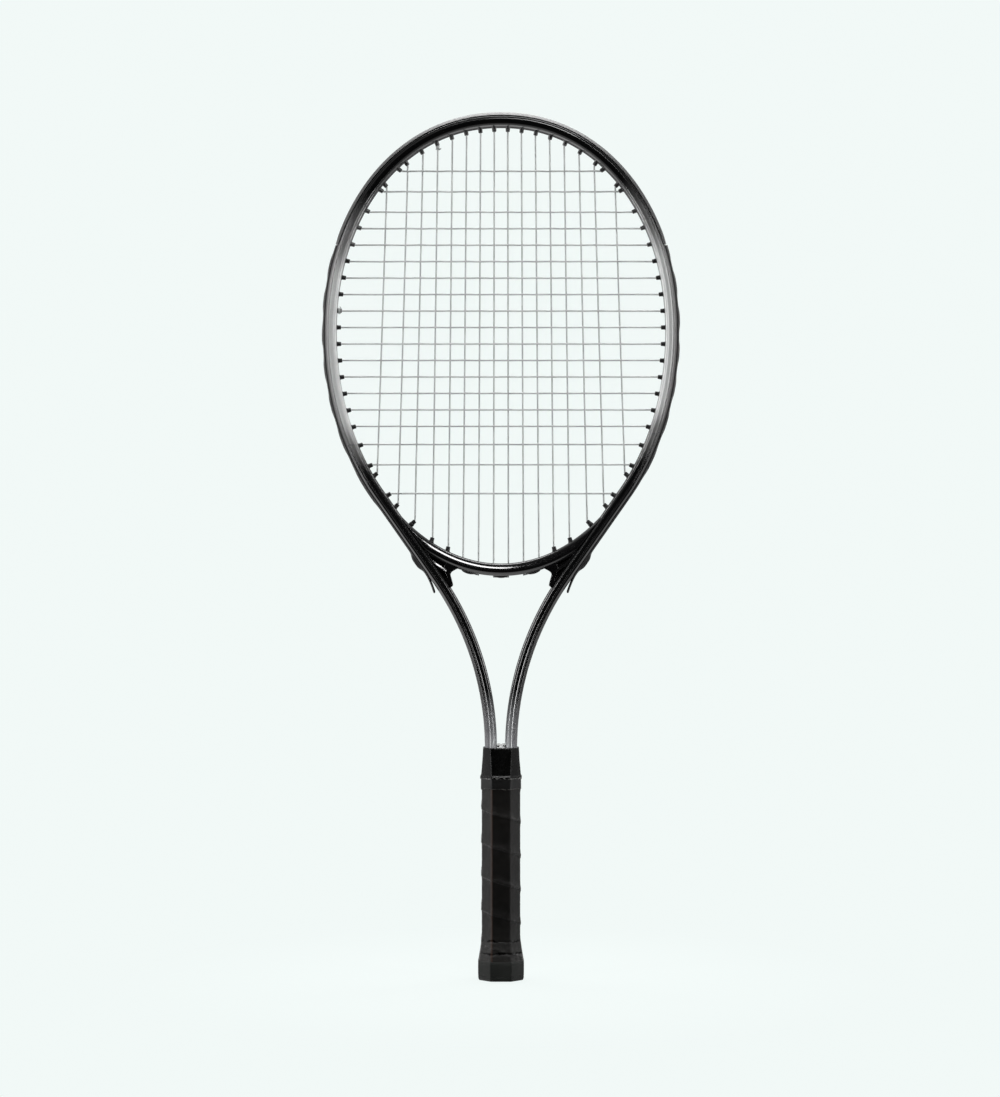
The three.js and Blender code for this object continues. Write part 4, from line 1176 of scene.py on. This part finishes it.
def collar():
    """Tapered sleeve with an uneven rolled lip and a slightly waisted wall."""
    top = box_mm("collar")[1][2]
    levels = []
    for t in np.linspace(0, 1, 28):
        z = LIP_Z + 3.4 + (top - 1.0 - LIP_Z - 3.4) * t
        levels.append((z, 0.45 - 1.5 * t - 0.12 * math.sin(math.pi * t), 1 - 0.2 * t))
    lip = [(LIP_Z + up, grow) for up, grow in (
        (0.5, 0.35), (0.1, 0.75), (0.6, 1.12), (1.5, 1.2), (2.2, 1.0), (2.7, 0.62))]
    crown = [(top - down, -shrink, 0.8) for down, shrink in (
        (0.6, 1.15), (0.2, 1.3), (0.02, 1.7), (0.4, 3.2))]
    rings = stack(lip + levels + crown, 1.3)
    for i, ring in enumerate(rings):
        ragged = 0.55 if i < 4 else (0.25 if i < len(lip) else 0.0)
        for point in ring:
            x, y, z = point
            point[2] += ragged * noise.fractal(Vector((x * 0.22, y * 0.22, 0.7)), 1.0, 2.0, 3)
            dent = 0.12 * noise.noise(Vector((x * 0.15, y * 0.15, z * 0.12)))
            point[:2] *= 1 + dent / MEAN_RADIUS
    skin("collar_finished", rings, RUBBER, ["collar"], 38)


def shaft_spacer():
    """Pale block between the shafts, notched on top, with two dark dots in its front and back as painted
    shade for two holes.
    """
    low, high = box_mm("shaft_spacer")
    half, z0, z1 = high[0] + 0.25, low[2], high[2]
    notch = [(1.2, z1), (0.6, z1 - 0.5), (-0.6, z1 - 0.5), (-1.2, z1)]
    outline = [(-half, z0), (half, z0), (half, z1), *notch, (-half, z1)]
    bevelled_plate("shaft_spacer_finished", outline, 6.6, 0.25, SPACER, "shaft_spacer")
    # Dark dots on the block's front and back: painted shade standing in for two holes.
    shell = Shell()
    for x in (-2.2, 2.2):
        for y in (-1, 1):
            turned(shell, np.array([x, y * 6.3, z1 - 1.3]), (0, y, 0), [
                (0, 0.5), (0.35, 0.76), (0.52, 0.8), (0.56, 0.6), (0.46, 0.35), (0.44, 0.1)], 14)
    shell.make("spacer_hole_shade_dots", STRIP, ["shaft_spacer"])


def butt_cap():
    """Flared cap below the wrap: rounded octagon, a fine groove and a chamfer above the flat end."""
    levels = [
        (0.35, -3.6), (0.02, -3.4), (0.0, 1.6), (0.25, 2.05), (1.6, 2.6), (3.0, 2.72), (3.3, 2.5),
        (3.6, 2.5), (3.9, 2.78), (8, 2.84), (12, 2.84), (14.6, 2.8), (15.4, 2.5), (17, 1.6)]
    nodes = ["butt_cap", "butt_tack_front", "butt_tack_back"]
    skin("butt_cap_finished", stack(levels, 1.5), BUTT, nodes, 36)


def butt_badge():
    radius = box_mm("butt_badge")[1][0]
    rim = [(-2.5, 0.3), (-0.5, 0.3), (-0.18, 0.35), (0, 0.6), (0, 1.6), (-0.35, 1.9), (-0.35, 2.6), (0, 2.9)]
    profile = [(depth, radius - inset) for depth, inset in rim] + [(0, 0.6)]
    shell = Shell()
    turned(shell, np.zeros(3), (0, 0, -1), profile, 64)
    shell.make("butt_badge_finished", BUTT, ["butt_badge"], 30)


# ---- carried-over nodes ----
def dress_hidden_nodes():
    steel_nodes = ("bridge_screw_left", "bridge_screw_right", "handle_pin_upper", "handle_pin_lower")
    for names, material in ((steel_nodes, STEEL), (("handle_shell_front", "handle_shell_back"), FOAM)):
        for name in names:
            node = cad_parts[name]
            node.data.materials.clear()
            node.data.materials.append(material)


# ---- stage ----
CAMERA_AWAY = 2.2
CAMERA_HEIGHT = 0.3409
CAMERA_X = -0.0008
VIEW_HEIGHT = 0.8692
SENSOR = 36
FLOOR_HALF = 20
LIGHTS_AIM = (0, 0, 0.36)
RIGHT_SHARE = 0.6  # the right side gives less light than the left
GLOW_BELOW = 2.6  # the pale floor seen in glossy faces that look down
GLOW_FRONT_TO_BACK = (
    (0.0, 0.0), (0.2, 0.015), (0.4, 0.45), (0.55, 1.0), (0.75, 1.0), (0.9, 0.3), (1.0, 0.12))


def set_camera():
    data = bpy.data.cameras.new("front_camera")
    data.sensor_fit = "VERTICAL"
    data.sensor_height = SENSOR
    data.sensor_width = SENSOR
    data.lens = SENSOR * CAMERA_AWAY / VIEW_HEIGHT
    data.clip_end = 50
    camera = bpy.data.objects.new("front_camera", data)
    camera.location = (CAMERA_X, -CAMERA_AWAY, CAMERA_HEIGHT)
    camera.rotation_euler = (math.pi / 2, 0, 0)
    bpy.context.collection.objects.link(camera)
    bpy.context.scene.camera = camera


def area_light(name, place, size, power):
    data = bpy.data.lights.new(name, "AREA")
    data.shape = "RECTANGLE"
    data.size, data.size_y = size
    data.energy = power
    light = bpy.data.objects.new(name, data)
    light.location = place
    light.rotation_euler = (Vector(LIGHTS_AIM) - Vector(place)).to_track_quat("-Z", "Y").to_euler()
    bpy.context.collection.objects.link(light)


def set_lights():
    area_light("left_strip", (-2.05, -1.15, 0.5), (0.35, 2.4), 40)
    area_light("right_strip", (2.05, -1.15, 0.5), (0.3, 2.4), 24)
    area_light("high_strip", (0.5, -1.85, 1.85), (1.25, 0.4), 33)
    area_light("top_box", (0.1, 0.4, 2.6), (2.2, 1.2), 90)
    area_light("back_left", (-1.8, 1.3, 0.6), (0.35, 2.4), 22)
    area_light("back_right", (1.8, 1.3, 0.6), (0.35, 2.4), 22)


def set_world():
    """Pale to the eye; for the light it gives, bright at the sides and above, dim in front and behind."""
    world = bpy.data.worlds.new("studio")
    bpy.context.scene.world = world
    world.use_nodes = True
    n = Tree(world.node_tree, "Generated")
    x, y, z = n.split()
    around = n.ramp(n.grey(y, -1, 1, 0, 1), [(place, (level,) * 3) for place, level in GLOW_FRONT_TO_BACK])
    strength = n.times(n.grey(z, -0.25, -0.75, 1.0, GLOW_BELOW), n.grey(x, -0.5, 0.5, 1.0, RIGHT_SHARE))
    lit = n.add("ShaderNodeBackground")
    n.feed(lit, {"Color": around, "Strength": strength})
    seen = n.tree.nodes["Background"]
    n.feed(seen, {"Color": (*BACKGROUND, 1), "Strength": 1.0})
    path = n.add("ShaderNodeLightPath").outputs
    choose = n.add("ShaderNodeMixShader")
    through = n.math("MAXIMUM", path["Is Camera Ray"], path["Is Transmission Ray"])
    n.feed(choose, {0: through, 1: lit.outputs[0], 2: seen.outputs[0]})
    n.link(choose.outputs[0], n.tree.nodes["World Output"].inputs[0])
    bpy.context.scene.view_settings.view_transform = "Standard"


def set_floor():
    mesh = bpy.data.meshes.new("floor")
    corners = [(FLOOR_HALF * x, FLOOR_HALF * y, 0) for x, y in ((-1, -1), (1, -1), (1, 1), (-1, 1))]
    mesh.from_pydata(corners, [], [(0, 1, 2, 3)])
    floor = bpy.data.objects.new("floor", mesh)
    mesh.materials.append(floor_pale())
    bpy.context.collection.objects.link(floor)
    floor.visible_diffuse = False
    floor.visible_glossy = False


set_camera()
set_world()
set_lights()
set_floor()

frame_tube()
head_guard()
side_strip(-1, "left")
side_strip(1, "right")
bridge_band()
bridge_hoods()
bridge_webs()
bridge_stubs()
woven_strings()
string_knots()
shaft_spacer()
collar()
grip_tape()
finishing_band()
butt_cap()
butt_badge()
dress_hidden_nodes()
